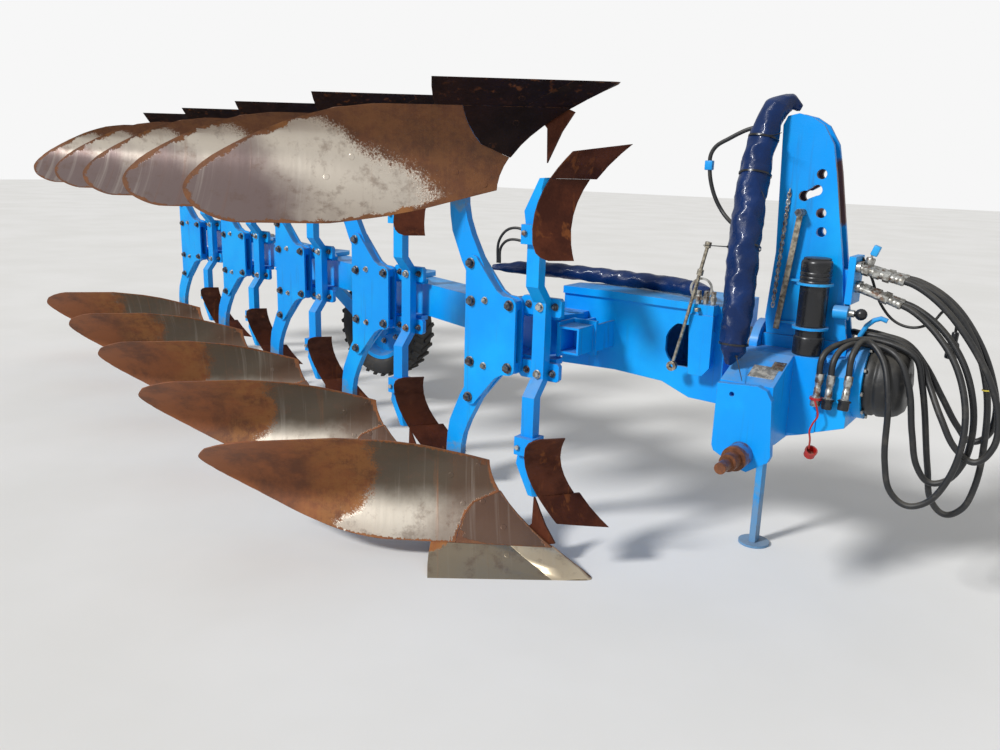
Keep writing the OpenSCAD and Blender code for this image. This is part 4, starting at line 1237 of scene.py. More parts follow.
@dataclass
class TractorHoses:
    """The five hoses to the tractor, their crimped ends and their plugs with dust caps."""

    bench: Bench
    diameter: float = 20.0
    plug: Profile = (
        (0, -34), (13, -34), (13.4, -30), (13.4, -8), (12, -4), (12, 0), (10.5, 2), (10.5, 12), (11.6, 14), (11.6, 40),
        (15.6, 43), (15.6, 50), (14.6, 52), (15.8, 54), (15.8, 70), (14, 74), (0, 74))
    cap: Profile = ((16.4, 44), (18.4, 44), (18.4, 50), (17.4, 52), (17.4, 72), (15.4, 77), (0, 77))
    cap_ring_at: float = 47.0
    crimp: Profile = (
        (10.2, -2), (13.6, -2), (14, 0), (14, 8), (13, 10), (14, 12), (14, 20), (13, 22), (14, 24), (14, 34),
        (12.6, 38), (10.2, 38))
    nuts: Profile = ((-26, 32), (-58, 30), (-92, 30))
    nut_height: float = 20.0
    hung_cap: Profile = ((0, 0), (15, 0), (18, 4), (18, 22), (20, 24), (20, 30), (15.5, 30), (15.5, 6), (0, 6))
    strap: tuple[Point, ...] = (
        (1149, 308, 737), (1160, 304, 712), (1166, 303, 686), (1154, 303, 660), (1146, 304, 632), (1150, 306, 604),
        (1149, 309, 572))
    open_plug: int = 3
    red_cap: int = 5
    routes: tuple[tuple[Point, ...], ...] = (
        ((1301, 482, 1054), (1368, 478, 1030), (1450, 462, 968), (1520, 438, 880), (1565, 410, 760), (1572, 393, 640),
         (1548, 390, 530), (1500, 390, 448), (1445, 390, 425), (1395, 390, 458), (1368, 388, 545), (1351, 370, 783),
         (1312, 400, 888), (1262, 412, 926), (1241, 352, 900), (1238, 331, 790)),
        ((1301, 518, 1054), (1370, 516, 1035), (1460, 505, 975), (1535, 485, 880), (1580, 465, 760), (1590, 453, 650),
         (1575, 450, 570), (1538, 450, 512), (1493, 448, 497), (1455, 440, 540), (1428, 425, 650), (1399, 402, 815),
         (1350, 414, 896), (1262, 434, 914), (1205, 372, 905), (1188, 338, 868), (1186, 331, 785)),
        ((1301, 500, 1126), (1368, 500, 1114), (1465, 500, 1060), (1550, 498, 955), (1605, 498, 810), (1622, 500, 650),
         (1614, 500, 485), (1588, 500, 412), (1545, 500, 385), (1502, 500, 420), (1478, 500, 520), (1427, 466, 815),
         (1403, 462, 884), (1345, 462, 914), (1262, 458, 926), (1196, 408, 914), (1154, 337, 878), (1150, 331, 785)),
        ((1301, 465, 1126), (1366, 464, 1112), (1450, 458, 1060), (1540, 448, 965), (1615, 438, 850), (1655, 430, 735),
         (1652, 425, 650), (1610, 425, 597), (1558, 425, 625), (1500, 436, 715), (1446, 480, 808), (1411, 490, 876),
         (1350, 488, 919), (1225, 492, 937), (1170, 612, 905), (1162, 676, 800)),
        ((1301, 535, 1126), (1370, 537, 1116), (1470, 538, 1060), (1560, 535, 950), (1618, 532, 825), (1638, 530, 730),
         (1622, 530, 655), (1582, 530, 632), (1540, 530, 672), (1485, 527, 757), (1422, 521, 856), (1362, 515, 918),
         (1290, 512, 936), (1235, 525, 940), (1218, 618, 908), (1214, 676, 800)))

    def build(self) -> None:
        """Makes the hoses with all that is on them."""
        shop = Paintshop
        for number, route in enumerate(self.routes, 1):
            name = str(number)
            second, tip = self.bench.datum.path(route[-2:])
            ahead = (tip - second).normalized()
            ends = [self.bench.piece("plug_" + name, Shape().turned(self.plug, tip, ahead), shop.zinc)]
            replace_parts(ends[0], "hose_plugs")
            if number == self.open_plug:
                self.strapped_cap()
            else:
                cap = Shape().turned(self.cap, tip, ahead)
                cap.turned(ring(16, 21, 2), tip + ahead * self.cap_ring_at * MM, ahead, 24)
                finish = shop.red if number == self.red_cap else shop.black
                ends.append(self.bench.piece("dust_cap_" + name, cap, finish))
            item = self.bench.cord(f"hose_{name}_line", route, self.diameter, "connector", with_pieces=ends)
            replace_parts(item, "hose_" + name)
            start, onward = self.bench.datum.path(route[:2])
            self.crimped(name, start, (onward - start).normalized())

    def strapped_cap(self) -> None:
        """Hangs a red cap under the open plug, on its own strap."""
        bench, red = self.bench, Paintshop.red
        bench.piece("cap_ring", Shape().turned(ring(16.4, 20.5, 4), bench.datum.at(1148, 329, 737)), red)
        cap = Shape().turned(self.hung_cap, bench.datum.at(1148, 322, 545), Vector((0.35, -0.5, 0.8)))
        hung = bench.piece("hanging_cap", cap, red)
        bench.cord("cap_strap", self.strap, 6, "fitting", "limp", finish=red, with_pieces=[hung])

    def crimped(self, name: str, start: Vector, ahead: Vector) -> None:
        """Makes the crimped sleeve and the nuts where a hose leaves its coupling.

        Args:
            name: The hose's number.
            start: Where the hose leaves.
            ahead: Where it leaves to.
        """
        shape = Shape().turned(self.crimp, start, ahead, 24)
        for low, flats in self.nuts:
            shape.hexagon(start, ahead, low, low + self.nut_height, flats)
        self.bench.piece("crimp_" + name, shape, Paintshop.zinc)


@dataclass
class SoilPlates:
    """The wearing plates of the plough bodies, smoothed and marked for their wear.

    Bolts are given by how far forward and how high they are on their own body, in metres. Roundings are
    given by the stretch of the body that they cover, from the rear to the front, and by the sharpest
    corner that they round, in radians. Each of the rounds pulls a vertex by a share towards its two
    neighbours. A crease, in degrees, is the least turn that shades as an edge, and a bolt's place is
    looked for from a clear distance beside the body.
    """

    bench: Bench
    chord: Vector = field(default_factory=lambda: Vector((0.76, 0.65, 0.0)))
    facing: Vector = field(default_factory=lambda: Vector((0.5, -0.86, 0.0)))
    bolts: dict[str, Profile] = field(default_factory=lambda: {
        "moldboards": ((0.10, 0.14), (0.0, 0.19), (-0.06, 0.29), (0.02, 0.33), (-0.36, 0.25), (-0.42, 0.32)),
        "shins": ((0.16, 0.125), (0.06, 0.2)),
        "shares": ((0.33, 0.052), (0.22, 0.052)),
        "points": ((0.42, 0.05), (0.47, 0.035))})
    roundings: dict[str, Point] = field(default_factory=lambda: {
        "moldboards": (-9.0, -0.06, 0.6), "points": (0.45, 9.0, 3.2)})
    rounds: int = 5
    pull: float = 0.25
    weld: float = 2e-5
    crease: float = 30.0
    clear: float = 1.5
    reach: float = 0.004
    alike: float = 0.8
    bolt_radii: tuple[float, float] = (0.0112, 0.0098)
    bolt_height: float = 0.003
    bolt_sunk: float = 0.0007
    bolt_outline: float = 0.05

    def islands(self, bm: BMesh) -> list[list[BMVert]]:
        """Finds the separate solids of a mesh.

        Args:
            bm: The mesh.

        Returns:
            Each solid's vertices, from the first plough body to the last.
        """
        found: list[list[BMVert]] = []
        seen: set[BMVert] = set()
        for first in bm.verts:
            if first in seen:
                continue
            seen.add(first)
            group, ready = [], [first]
            while ready:
                vert = ready.pop()
                group.append(vert)
                for edge in vert.link_edges:
                    other = edge.other_vert(vert)
                    if other not in seen:
                        seen.add(other)
                        ready.append(other)
            found.append(group)
        return sorted(found, key=lambda group: sum(vert.co.y for vert in group) / len(group))

    def beside(self, vert: BMVert) -> list[BMVert]:
        """Gives the neighbours of a vertex along the plate's rim."""
        return [edge.other_vert(vert) for edge in vert.link_edges if edge.calc_face_angle(0.0) > RIM_ANGLE]

    def rounded(self, bm: BMesh, low: float, high: float, sharpest: float) -> None:
        """Rounds the corners between the straight stretches of the plates' free edges.

        Args:
            bm: The mesh of five plates.
            low: From how far forward on their own bodies.
            high: Up to how far forward.
            sharpest: Corners that turn more than this stay.
        """
        bm.normal_update()
        surface = BVHTree.FromBMesh(bm)
        free = {vert for number, group in enumerate(self.islands(bm)) for vert in group
                if low < vert.co.x - self.bench.datum.body(number).x < high}
        rim = [edge for edge in bm.edges if edge.calc_face_angle(0.0) > RIM_ANGLE and free.issuperset(edge.verts)]
        bmesh.ops.subdivide_edges(bm, edges=rim, cuts=2)
        bm.normal_update()
        for number, group in enumerate(self.islands(bm)):
            origin = self.bench.datum.body(number)
            loop: list[tuple[BMVert, BMVert, BMVert]] = []
            for vert in group:
                beside = self.beside(vert)
                if low < vert.co.x - origin.x < high and len(beside) == 2:
                    before, after = beside
                    if (vert.co - before.co).angle(after.co - vert.co, 9.0) < sharpest:
                        loop.append((vert, before, after))
            for _ in range(self.rounds):
                moved = [vert.co * (1 - 2 * self.pull) + (before.co + after.co) * self.pull
                         for vert, before, after in loop]
                for (vert, _, _), place in zip(loop, moved):
                    vert.co = place
            for vert, _, _ in loop:
                vert.co = surface.find_nearest(vert.co)[0]

    def shaded_as(self, mesh: bpy.types.Mesh, source: bpy.types.Mesh, surface: BVHTree) -> None:
        """Gives a mesh the smooth shading of the one that it was made from.

        Args:
            mesh: The mesh to shade.
            source: The triangles that it was made from.
            surface: The tree of those triangles.
        """
        corners = [corner.vector.copy() for corner in source.corner_normals]
        normals: list[Vector] = []
        for face in mesh.polygons:
            for index in face.loop_indices:
                place = mesh.vertices[mesh.loops[index].vertex_index].co
                near = surface.find_nearest_range(place, self.reach)
                alike = [hit for hit in near if hit[1].dot(face.normal) > self.alike]
                if not alike:
                    normals.append(face.normal.copy())
                    continue
                spot, _, number, _ = min(alike, key=lambda hit: hit[3])
                found = source.polygons[number]
                triangle = [source.vertices[vertex].co for vertex in found.vertices]
                smooth = [corners[corner] for corner in found.loop_indices]
                normals.append(barycentric_transform(spot, *triangle, *smooth).normalized())
        mesh.normals_split_custom_set(normals)

    def marked(self, bm: BMesh, turn: Turn, bolts: Profile) -> None:
        """Writes the furrow and plate attributes, and adds the bolt heads.

        Args:
            bm: The mesh of five plates.
            turn: Whether these bodies are the lower or the upper ones.
            bolts: Where bolt heads are.
        """
        furrow = bm.verts.layers.float_vector.new("furrow")
        plate = bm.verts.layers.float_vector.new("plate")
        rims = [vert for vert in bm.verts if self.beside(vert)]
        outline = KDTree(len(rims))
        for index, vert in enumerate(rims):
            outline.insert(vert.co, index)
        outline.balance()
        bm.normal_update()
        groups = self.islands(bm)
        per_body = max(1, len(groups) // BODIES)
        for index, group in enumerate(groups):
            number = index // per_body
            origin = self.bench.datum.body(number)
            for vert in group:
                away = vert.co - origin
                vert[furrow] = (away.x, turn.height(vert.co.z), float(number))
                front = float(vert.normal.dot(self.facing) > 0.0)
                vert[plate] = (away.dot(self.chord), outline.find(vert.co)[2], front)
        tree = BVHTree.FromBMesh(bm)
        for number in range(BODIES):
            origin = self.bench.datum.body(number)
            for ahead, high in bolts:
                outside = Vector((origin.x + ahead, origin.y - self.clear, turn.height(high)))
                spot, normal, _, _ = tree.ray_cast(outside, LEFT)
                if spot is None:
                    continue
                head = bmesh.ops.create_cone(
                    bm, cap_ends=True, segments=20, radius1=self.bolt_radii[0], radius2=self.bolt_radii[1],
                    depth=self.bolt_height, matrix=standing(spot - normal * self.bolt_sunk, normal))
                for vert in head["verts"]:
                    vert[furrow] = (ahead, high, float(number))
                    vert[plate] = ((spot - origin).dot(self.chord), self.bolt_outline, 1.0)

    def smoothed(self, node: str, finish: Finish) -> None:
        """Makes the smooth, marked copy of a node, with its bolt heads.

        Args:
            node: The CAD node.
            finish: The copy's finish.
        """
        bm = bmesh.new()
        bm.from_mesh(frame["nodes"][node].data)
        bmesh.ops.remove_doubles(bm, verts=bm.verts, dist=self.weld)
        kind = node.split("_")[0]
        span = self.roundings.get(kind)
        if span:
            source = bpy.data.meshes.new(node + "_source")
            bm.to_mesh(source)
            source.shade_smooth()
            source.set_sharp_from_angle(angle=math.radians(self.crease))
            surface = BVHTree.FromBMesh(bm)
            self.rounded(bm, *span)
        self.marked(bm, Turn.UPPER if node.endswith("_upper") else Turn.LOWER, self.bolts.get(kind, ()))
        item = self.bench.piece(node + "_skin", Shape(bm), finish, Body.FRAME, self.crease, normals=False)
        if span:
            self.shaded_as(item.data, source, surface)
            bpy.data.meshes.remove(source)
        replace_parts(item, node)

    def build(self) -> None:
        """Makes all the wearing plates."""
        shop = Paintshop
        for kind, lower, upper in (("moldboards", shop.lower_board, shop.upper_board),
                                   ("shins", shop.lower_shin, shop.dark_rust),
                                   ("shares", shop.share, shop.dark_rust), ("points", shop.point, shop.dark_rust)):
            self.smoothed(kind + "_lower", lower)
            self.smoothed(kind + "_upper", upper)
        self.smoothed("skimmer_boards", shop.brown_rust)
        self.smoothed("skimmer_shares", shop.brown_rust)


@dataclass
class CarrierBolts:
    """The bolts that hold the shanks between their carrier plates, and the skimmer stalks to the yokes.

    Each row gives a bolt's size, its place on the first carrier as how far forward, to the left and from
    the turning axis, where it points, and whether it has a washer and a thread's end.
    """

    bench: Bench
    level: float = AXIS_HEIGHT / MM
    dull: tuple[BoltRow, ...] = (
        (25, -5, 0, 246, RIGHT, True, False), (25, -5, 54, 246, LEFT, True, True),
        (25, 0, 0, 111, RIGHT, True, False), (25, 0, 54, 111, LEFT, True, True),
        (25, 166, 0, 112, RIGHT, True, False), (25, 166, 54, 112, LEFT, True, True),
        (18, 211, 57, 118, RIGHT, True, True), (18, 319, 57, 118, RIGHT, True, True))
    bright: tuple[BoltRow, ...] = (
        (17, 61, 0, 119, RIGHT, True, False), (21, 281, 17, 118, RIGHT, True, False),
        (21, 281, 77, 118, LEFT, True, True), (17, 258, -56, 372, RIGHT, False, False),
        (17, 304, -56, 372, RIGHT, False, False))

    def build(self) -> None:
        """Makes the bolts of all the carriers."""
        for name, finish, rows in (("carrier_bolts", Paintshop.bolt_steel, self.dull),
                                   ("stalk_bolts", Paintshop.zinc, self.bright)):
            shape = Shape()
            for number in range(BODIES):
                at = Datum(self.bench.datum.body(number)).at
                for side in (-1, 1):
                    for size, x, y, height, axis, washer, thread in rows:
                        shape.bolt(size, at(x, y, self.level + side * height), axis, washer, thread)
            self.bench.piece(name, shape, finish, Body.FRAME)


@dataclass
class DocumentTube:
    """Black tube for the papers, with its ribbed lid."""

    bench: Bench
    foot: Point = (1085, 400, 862)
    profile: Profile = (
        (0, 0), (46, 0), (49, 3), (49, 56), (47, 60), (45.5, 62), (45.5, 226), (48, 230), (49, 233), (49, 240),
        (47, 243), (49, 246), (49, 254), (47, 257), (49, 260), (49, 268), (47, 271), (49, 274), (49, 300), (46, 307),
        (43, 309), (43, 314), (40, 316), (0, 316))

    def build(self) -> None:
        """Makes the tube in place of its plain solid."""
        tube = Shape().turned(self.profile, self.bench.datum.at(*self.foot), steps=48)
        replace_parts(self.bench.piece("document_tube_ribbed", tube, Paintshop.black), "document_tube")


@dataclass
class NoseCap:
    """Rubber cap on the turnover housing, and the bolts of its ring."""

    bench: Bench
    centre: Point = (1270, 500, 787)
    profile: Profile = (
        (0, 0), (114, 0), (116, 4), (116, 22), (112, 26), (112, 34), (116, 38), (116, 46), (112, 80), (104, 100),
        (90, 114), (66, 121), (58, 118), (40, 119), (36, 124), (0, 124))
    dents_from: float = 1300.0
    dents_per_metre: float = 14.0
    dent: float = 0.004
    bolts: int = 10
    bolt_size: float = 13.0
    bolt_circle: float = 123.5
    first_bolt: float = 12.0

    def build(self) -> None:
        """Makes the cap and the ring's bolts."""
        datum = self.bench.datum
        cap = Shape().turned(self.profile, datum.at(*self.centre), AHEAD, 72)
        for vert in cap.bm.verts:
            swell = noise.noise(vert.co * self.dents_per_metre) * self.dent
            vert.co.x -= abs(swell) if vert.co.x > datum.at(self.dents_from, 0, 0).x else 0.0
        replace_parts(self.bench.piece("nose_cap_moulded", cap, Paintshop.hose, angle=50.0), "nose_cap")
        bolts = Shape()
        x, y, z = self.centre
        for index in range(self.bolts):
            angle = math.radians(360 / self.bolts * index + self.first_bolt)
            place = datum.at(x, y + self.bolt_circle * math.cos(angle), z + self.bolt_circle * math.sin(angle))
            bolts.bolt(self.bolt_size, place, AHEAD, washer=False)
        self.bench.piece("nose_ring_bolts", bolts, Paintshop.zinc)


@dataclass(frozen=True)
class Sleeve:
    """Sizes of one hose sleeve: its fold, route and radii in millimetres, its pitch and flat size in metres."""

    name: str
    node: str
    body: Body
    rests_on: str
    fold: float
    pitch: float
    flat: tuple[float, float]
    route: tuple[Point, ...]
    radii: tuple[float, ...]


@dataclass
class HoseSleeves:
    """The two vinyl sleeves that gather the plough's own hoses, with their folds and ties."""

    bench: Bench
    sleeves: tuple[Sleeve, ...] = (
        Sleeve("tower_sleeve_vinyl", "tower_sleeve", Body.HEADSTOCK, "tower_plates", 8.0, 0.1, (0.34, 0.98),
               ((952, 500, 1644), (922, 486, 1660), (888, 449, 1640), (870, 413, 1560), (862, 378, 1446),
                (868, 335, 1317), (882, 280, 1190), (898, 235, 1075), (904, 210, 960), (902, 203, 880),
                (896, 200, 832)),
               (12, 30, 44, 49, 53, 54, 54, 52, 50, 45, 12)),
        Sleeve("beam_sleeve_vinyl", "beam_sleeve", Body.FRAME, "frame_head", 4.5, 0.09, (0.2, 0.96),
               ((-190, 400, 1033), (-80, 412, 1039), (60, 425, 1043), (200, 440, 1041), (340, 455, 1037),
                (480, 450, 1036), (600, 430, 1035), (690, 400, 1033), (760, 350, 1041)),
               (12, 27, 30, 30, 31, 31, 30, 29, 8)))
    thickness: float = 0.0012
    wander_scale: float = 6.0
    wander: float = 1.1
    crumple_scale: float = 26.0
    turns: float = 1.5
    shift: float = 0.9
    fold_share: float = 0.8
    crumple_share: float = 0.5
    ties: tuple[tuple[Point, Point, float, Point], ...] = (
        ((868, 408, 1545), (0.1, 0.25, 1), 49, (950, 330, 1560)),
        ((864, 372, 1430), (0, 0.3, 1), 52, (930, 300, 1350)),
        ((880, 290, 1200), (-0.1, 0.4, 1), 52, (770, 215, 1205)),
        ((903, 207, 900), (0, 0.1, 1), 47, (965, 140, 800)))
    tie_width: float = 0.004

    def gathered(self, sleeve: Sleeve) -> None:
        """Args:
            sleeve: The sleeve's sizes.
        """
        bench = self.bench
        points = bench.datum.path(sleeve.route)
        widest = max(sleeve.radii)
        shares = [radius / widest for radius in sleeve.radii]
        bm = bench.skin(bench.curve(sleeve.name, points, widest * MM, shares, 8))
        middle = bench.curve(sleeve.name + "_middle", points, MM)
        line = bench.line(middle)
        bpy.data.curves.remove(middle)
        bmesh.ops.subdivide_edges(bm, edges=bm.edges, cuts=1, use_grid_fill=True, smooth=0.0)
        for vert in bm.verts:
            index = min(range(len(line)), key=lambda i: (line[i] - vert.co).length_squared)
            heading = (line[min(index + 1, len(line) - 1)] - line[max(index - 1, 0)]).normalized()
            out = vert.co - line[index]
            out -= heading * out.dot(heading)
            if out.length < 1e-5:
                continue
            side = heading.cross(Vector((0.3, -1, 0.2))).normalized()
            angle = math.atan2(out.dot(heading.cross(side)), out.dot(side))
            far = (vert.co - line[0]).length
            slant = self.turns * angle + noise.noise(vert.co * self.wander_scale) * self.wander
            one = math.sin(far * math.pi / sleeve.pitch + slant)
            two = math.sin(far * math.pi / sleeve.pitch - slant + self.shift)
            crumple = abs(noise.noise(vert.co * self.crumple_scale + Vector((3, 1, 7))))
            depth = self.fold_share * abs(one) * abs(two) + self.crumple_share * crumple
            vert.co -= out.normalized() * sleeve.fold * depth * MM
        bmesh.ops.smooth_vert(bm, verts=bm.verts, factor=0.2, use_axis_x=True, use_axis_y=True, use_axis_z=True)
        item = bench.piece(sleeve.name, Shape(bm), Paintshop.vinyl, sleeve.body, 180.0)
        thick = item.modifiers.new("Cloth", "SOLIDIFY")
        thick.thickness, thick.offset = self.thickness, -1.0
        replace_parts(item, sleeve.node)

    def build(self) -> None:
        """Makes both sleeves, and the ties round the upper one, each with its loose tail."""
        for sleeve in self.sleeves:
            self.gathered(sleeve)
        shape = Shape()
        half = Vector((1, 1, 1)) * self.tie_width
        for middle, heading, radius, tail in self.ties:
            centre, end = self.bench.datum.path((middle, tail))
            shape.turned(ring(radius - 1, radius + 1, 3), centre, Vector(heading).normalized(), 36)
            start = centre + (end - centre).normalized() * radius * MM
            shape.rod(start, end, self.tie_width, 6, 0.6).block(-half, half, 0.001, standing(start, end - start))
        self.bench.piece("tower_sleeve_ties", shape, Paintshop.black)


@dataclass
class DepthWheelDress:
    """Tread and nuts of the depth wheel, the lugs' sizes and the nuts' circle in metres."""

    bench: Bench
    centre: Point = (-1700, 1420, 460)
    tyre: Profile = (
        (200.5, -73), (206, -84), (218, -91), (250, -95), (275, -93), (285, -86), (291, -76), (294, -62), (296, -30),
        (296, 30), (294, 62), (291, 76), (285, 86), (275, 93), (250, 95), (218, 91), (206, 84), (200.5, 73))
    lugs: int = 30
    lug_half: Point = (0.011, 0.042, 0.006)
    lug_at: tuple[float, float] = (0.046, 0.2985)
    lug_lean: float = 28.0
    nuts: int = 6
    nut_size: float = 22.0
    nut_circle: float = 0.1
    first_nut: float = 20.0

    def build(self) -> None:
        """Makes the tyre with its lugs, and the rim's nuts."""
        hub = self.bench.datum.at(*self.centre)
        tyre = Shape().turned(self.tyre, hub, LEFT, 72)
        half = Vector(self.lug_half)
        aside, out = self.lug_at
        for index in range(self.lugs):
            for side, shift in ((-1, 0.75), (1, 0.25)):
                turn = Matrix.Rotation(2 * math.pi * (index + shift) / self.lugs, 4, "Y")
                lean = Matrix.Rotation(side * math.radians(self.lug_lean), 4, "Z")
                seat = Matrix.Translation(hub) @ turn @ Matrix.Translation((0, side * aside, out)) @ lean
                tyre.block(-half, half, 0.002, seat)
        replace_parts(self.bench.piece("wheel_tyre_treaded", tyre, Paintshop.tyre, Body.WHEEL), "wheel_tyre")
        nuts = Shape()
        for index in range(self.nuts):
            angle = math.radians(360 / self.nuts * index + self.first_nut)
            for y, axis in ((-0.008, RIGHT), (0.002, LEFT)):
                place = hub + Vector((math.cos(angle) * self.nut_circle, y, math.sin(angle) * self.nut_circle))
                nuts.bolt(self.nut_size, place, axis, thread=True)
        self.bench.piece("wheel_nuts", nuts, Paintshop.zinc, Body.WHEEL)


@dataclass
class TowerFittings:
    """Chain, rods, plates, cables and small fittings round the headstock's tower, the links' sizes in metres."""

    bench: Bench
    light_route: tuple[Point, ...] = (
        (1192, 528, 1178), (1222, 540, 1120), (1262, 548, 1030), (1312, 552, 978), (1368, 552, 966), (1420, 552, 990),
        (1448, 556, 1030), (1466, 566, 1040), (1484, 574, 1010), (1488, 574, 960))
    light_plug: Profile = ((0, -4), (9, -4), (11, 0), (11, 26), (17, 32), (19, 40), (19, 78), (17, 82), (0, 82))
    loop_route: tuple[Point, ...] = (
        (846, 432, 1585), (800, 431, 1572), (745, 430, 1545), (700, 430, 1518), (684, 430, 1490), (684, 430, 1452),
        (690, 430, 1410), (712, 430, 1350), (745, 430, 1300), (800, 400, 1262), (836, 372, 1250))
    rods: tuple[tuple[Point, Point, float], ...] = (
        ((682, 252, 802), (704, 252, 892), 12), ((704, 252, 892), (772, 254, 1208), 12),
        ((736, 260, 1020), (764, 262, 1200), 7))
    union: Profile = ((0, 0), (10, 0), (10, 12), (12, 12), (12, 26), (9, 28), (9, 44), (0, 44))
    tap: Profile = ((0, -14), (13, -14), (15, -10), (15, 10), (13, 14), (0, 14))
    small: tuple[tuple[str, Finish, Profile, Point, Vector, int], ...] = (
        ("dark_knob", Paintshop.black,
         ((0, 0), (9, 0), (9, 4), (14, 8), (18, 15), (19, 22), (17, 30), (11, 37), (4, 40), (0, 40)),
         (1208, 435.5, 1006), AHEAD, 24),
        ("marker_tie", Paintshop.yellow, ring(11, 13.4, 2), (1605, 498, 810), Vector((0.1, 0, -1)), 24),
        ("lever_nut", Paintshop.bolt_steel, ((0, 0), (9, 0), (9, 6), (13, 6), (13, 16), (0, 16)),
         (1005, 424, 1315), RIGHT, 6))
    rivet: Profile = ((0, 0), (2.4, 0), (2.0, 1.2), (0, 1.6))
    slope: tuple[float, float] = (175, 72)
    chain_ends: tuple[Point, Point] = ((957, 452, 1385), (944, 440, 1000))
    links: int = 34
    link_radii: tuple[float, float] = (0.0052, 0.0021)
    link_stretch: Point = (1.0, 1.75, 1.0)
    link_twist: float = 0.4

    def chain(self) -> None:
        """Hangs the lock lever's chain."""
        shape = Shape()
        start, end = self.bench.datum.path(self.chain_ends)
        pitch = (end - start) / self.links
        quarter = Matrix.Rotation(math.pi / 2, 4, "X")
        wide, thin = self.link_radii
        for index in range(self.links):
            part = bmesh.new()
            made = bmesh.ops.create_circle(part, cap_ends=False, segments=6, radius=thin,
                                           matrix=Matrix.Translation((wide, 0, 0)) @ quarter)["verts"]
            edges = list({edge for vert in made for edge in vert.link_edges})
            turn = Matrix.Rotation(math.pi / 2 * (index % 2) + self.link_twist, 4, "Z")
            seat = standing(start + pitch * (index + 0.5), pitch) @ turn @ quarter
            shape.spun(part, made + edges, 10, self.link_stretch).joined(part, seat)
        self.bench.piece("lever_chain", shape, Paintshop.zinc)

    def plates(self) -> None:
        """Rivets the blank type plate and a worn sticker to the housing's slope."""
        run, fall = self.slope
        for name, (x, y), size, finish in (("type_plate", (1003, 228), (0.042, 0.034), Paintshop.worn_plate),
                                           ("worn_sticker", (1036, 268), (0.02, 0.024), Paintshop.bar_steel)):
            place = self.bench.datum.at(x, y, 862 - (335 - y) * fall / run)
            turn = Matrix.Translation(place) @ Matrix.Rotation(math.atan2(fall, run), 4, "X")
            shape = Shape().block(Vector((-size[0], -size[1], 0.0)), Vector((*size, 0.0014)), 0.0005, turn)
            for u in (-1, 1):
                for v in (-1, 1):
                    corner = turn @ Vector((u * (size[0] - 0.006), v * (size[1] - 0.006), 0.001))
                    shape.turned(self.rivet, corner, turn.to_3x3() @ UP, 10)
            self.bench.piece(name, shape, finish)

    def support_rods(self) -> None:
        """Makes the bent rod and its thin companion beside the frame head, with the fittings at their foot."""
        bench, at = self.bench, self.bench.datum.at
        shape = Shape()
        for start, end, width in self.rods:
            shape.rod(at(*start), at(*end), width * MM, 12)
        shape.turned(ring(7, 17, 8), at(678, 252, 784), LEFT, 20)
        for place in ((752, 254, 1112), (771, 254, 1204)):
            shape.turned([(0, -9), (11, -9), (11, 9), (0, 9)], at(*place), Vector((0.2, 0, 1)), 12)
        shape.block(at(744, 250, 980), at(756, 284, 992), 0.002)
        bench.piece("support_rods", shape, Paintshop.rod_steel, Body.FRAME)
        shape = Shape().turned(ring(30, 38, 4), at(742, 300, 1052), Vector((0.3, -1, 0.15)))
        for x in (736, 762, 788):
            shape.turned(self.union, at(x, 299, 1002), steps=6)
        bench.piece("valve_unions", shape, Paintshop.zinc, Body.FRAME)

    def taps(self) -> None:
        """Makes the small parts round the couplings: a tap, a blank end, a knob, a tie and the lever's nut."""
        bench, at, shop = self.bench, self.bench.datum.at, Paintshop
        shape = Shape().turned(self.tap, at(1222, 500, 1168), Vector((0.2, 0, 1)), 16)
        shape.rod(at(1224, 500, 1178), at(1227, 500, 1194), 0.008, 10)
        shape.turned([(0, 0), (12, 0), (12, 18), (0, 18)], at(1191, 435.5, 1006), AHEAD, 20)
        bench.piece("tap_body", shape, shop.zinc)
        turn = Matrix.Translation(at(1227, 500, 1190)) @ Matrix.Rotation(0.35, 4, "Y")
        handle = Shape().block(Vector((-0.008, -0.009, 0.0)), Vector((0.014, 0.009, 0.034)), 0.003, turn)
        bench.piece("tap_handle", handle, shop.bright_blue)
        for name, finish, profile, place, axis, steps in self.small:
            bench.piece(name, Shape().turned(profile, at(*place), axis, steps), finish)

    def cords(self) -> None:
        """Makes the road lights' cable with its plug, the beam sleeve's thin hoses and the tower's hose loop."""
        bench, at = self.bench, self.bench.datum.at
        end = Shape().turned(self.light_plug, at(*self.light_route[-1]), Vector((-0.05, 0, -1)), 20)
        plug = bench.piece("light_plug", end, Paintshop.black)
        bench.cord("light_cable", self.light_route, 9, "plug", "medium", with_pieces=[plug])
        for name, rise, reach in (("thin_hose_1", 158, -2), ("thin_hose_2", 112, 8)):
            points = ((-168 + reach, 402, 1052), (-164 + reach, 402, 1052 + rise * 0.55),
                      (-125, 402, 1040 + rise * 0.93), (-62, 402, 1036 + rise), (-4, 402, 1046 + rise * 0.72),
                      (22, 404, 1040 + rise * 0.3))
            bench.cord(name, points, 11, "object", lay="loose", body=Body.FRAME)
        bench.cord("tower_loop_hose", self.loop_route, 14, "object", lay="loose")
        bench.piece("loop_clip", Shape().block(at(668, 420, 1440), at(696, 440, 1472), 0.003), Paintshop.bright_blue)

    def build(self) -> None:
        """Makes the fittings, those with cords first."""
        self.cords()
        self.support_rods()
        self.taps()
        self.plates()
        self.chain()


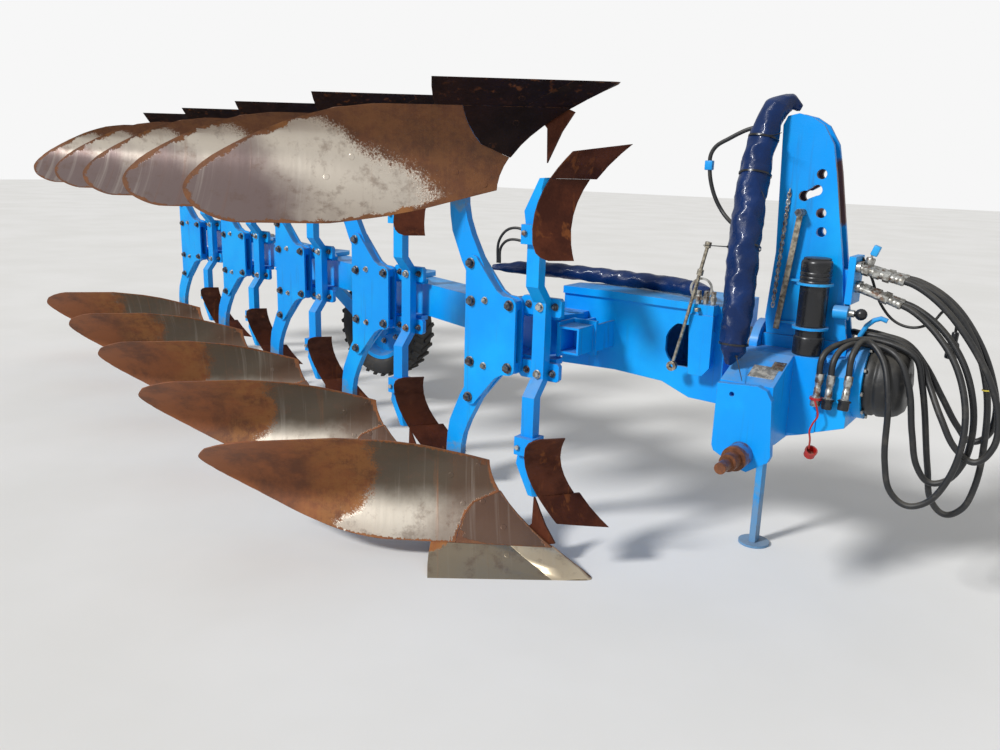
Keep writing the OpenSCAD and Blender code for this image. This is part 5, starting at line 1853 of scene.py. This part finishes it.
def main() -> None:
    """Builds the studio and then every sub-assembly of the plough, in order."""
    logging.basicConfig(level=logging.INFO, format="%(name)s: %(message)s")
    shop = Paintshop()
    Studio().build(shop.effects)
    bench = Bench(shop, Datum.from_frame())
    LOG.info("dressed %d nodes of the frame", shop.dress_nodes())
    for kind in (TractorHoses, SoilPlates, CarrierBolts, DocumentTube, NoseCap, HoseSleeves, DepthWheelDress,
                 TowerFittings):
        before = bench.count
        kind(bench).build()
        LOG.info("%s: %d pieces", kind.__name__, bench.count - before)


if __name__ == "__main__":
    main()
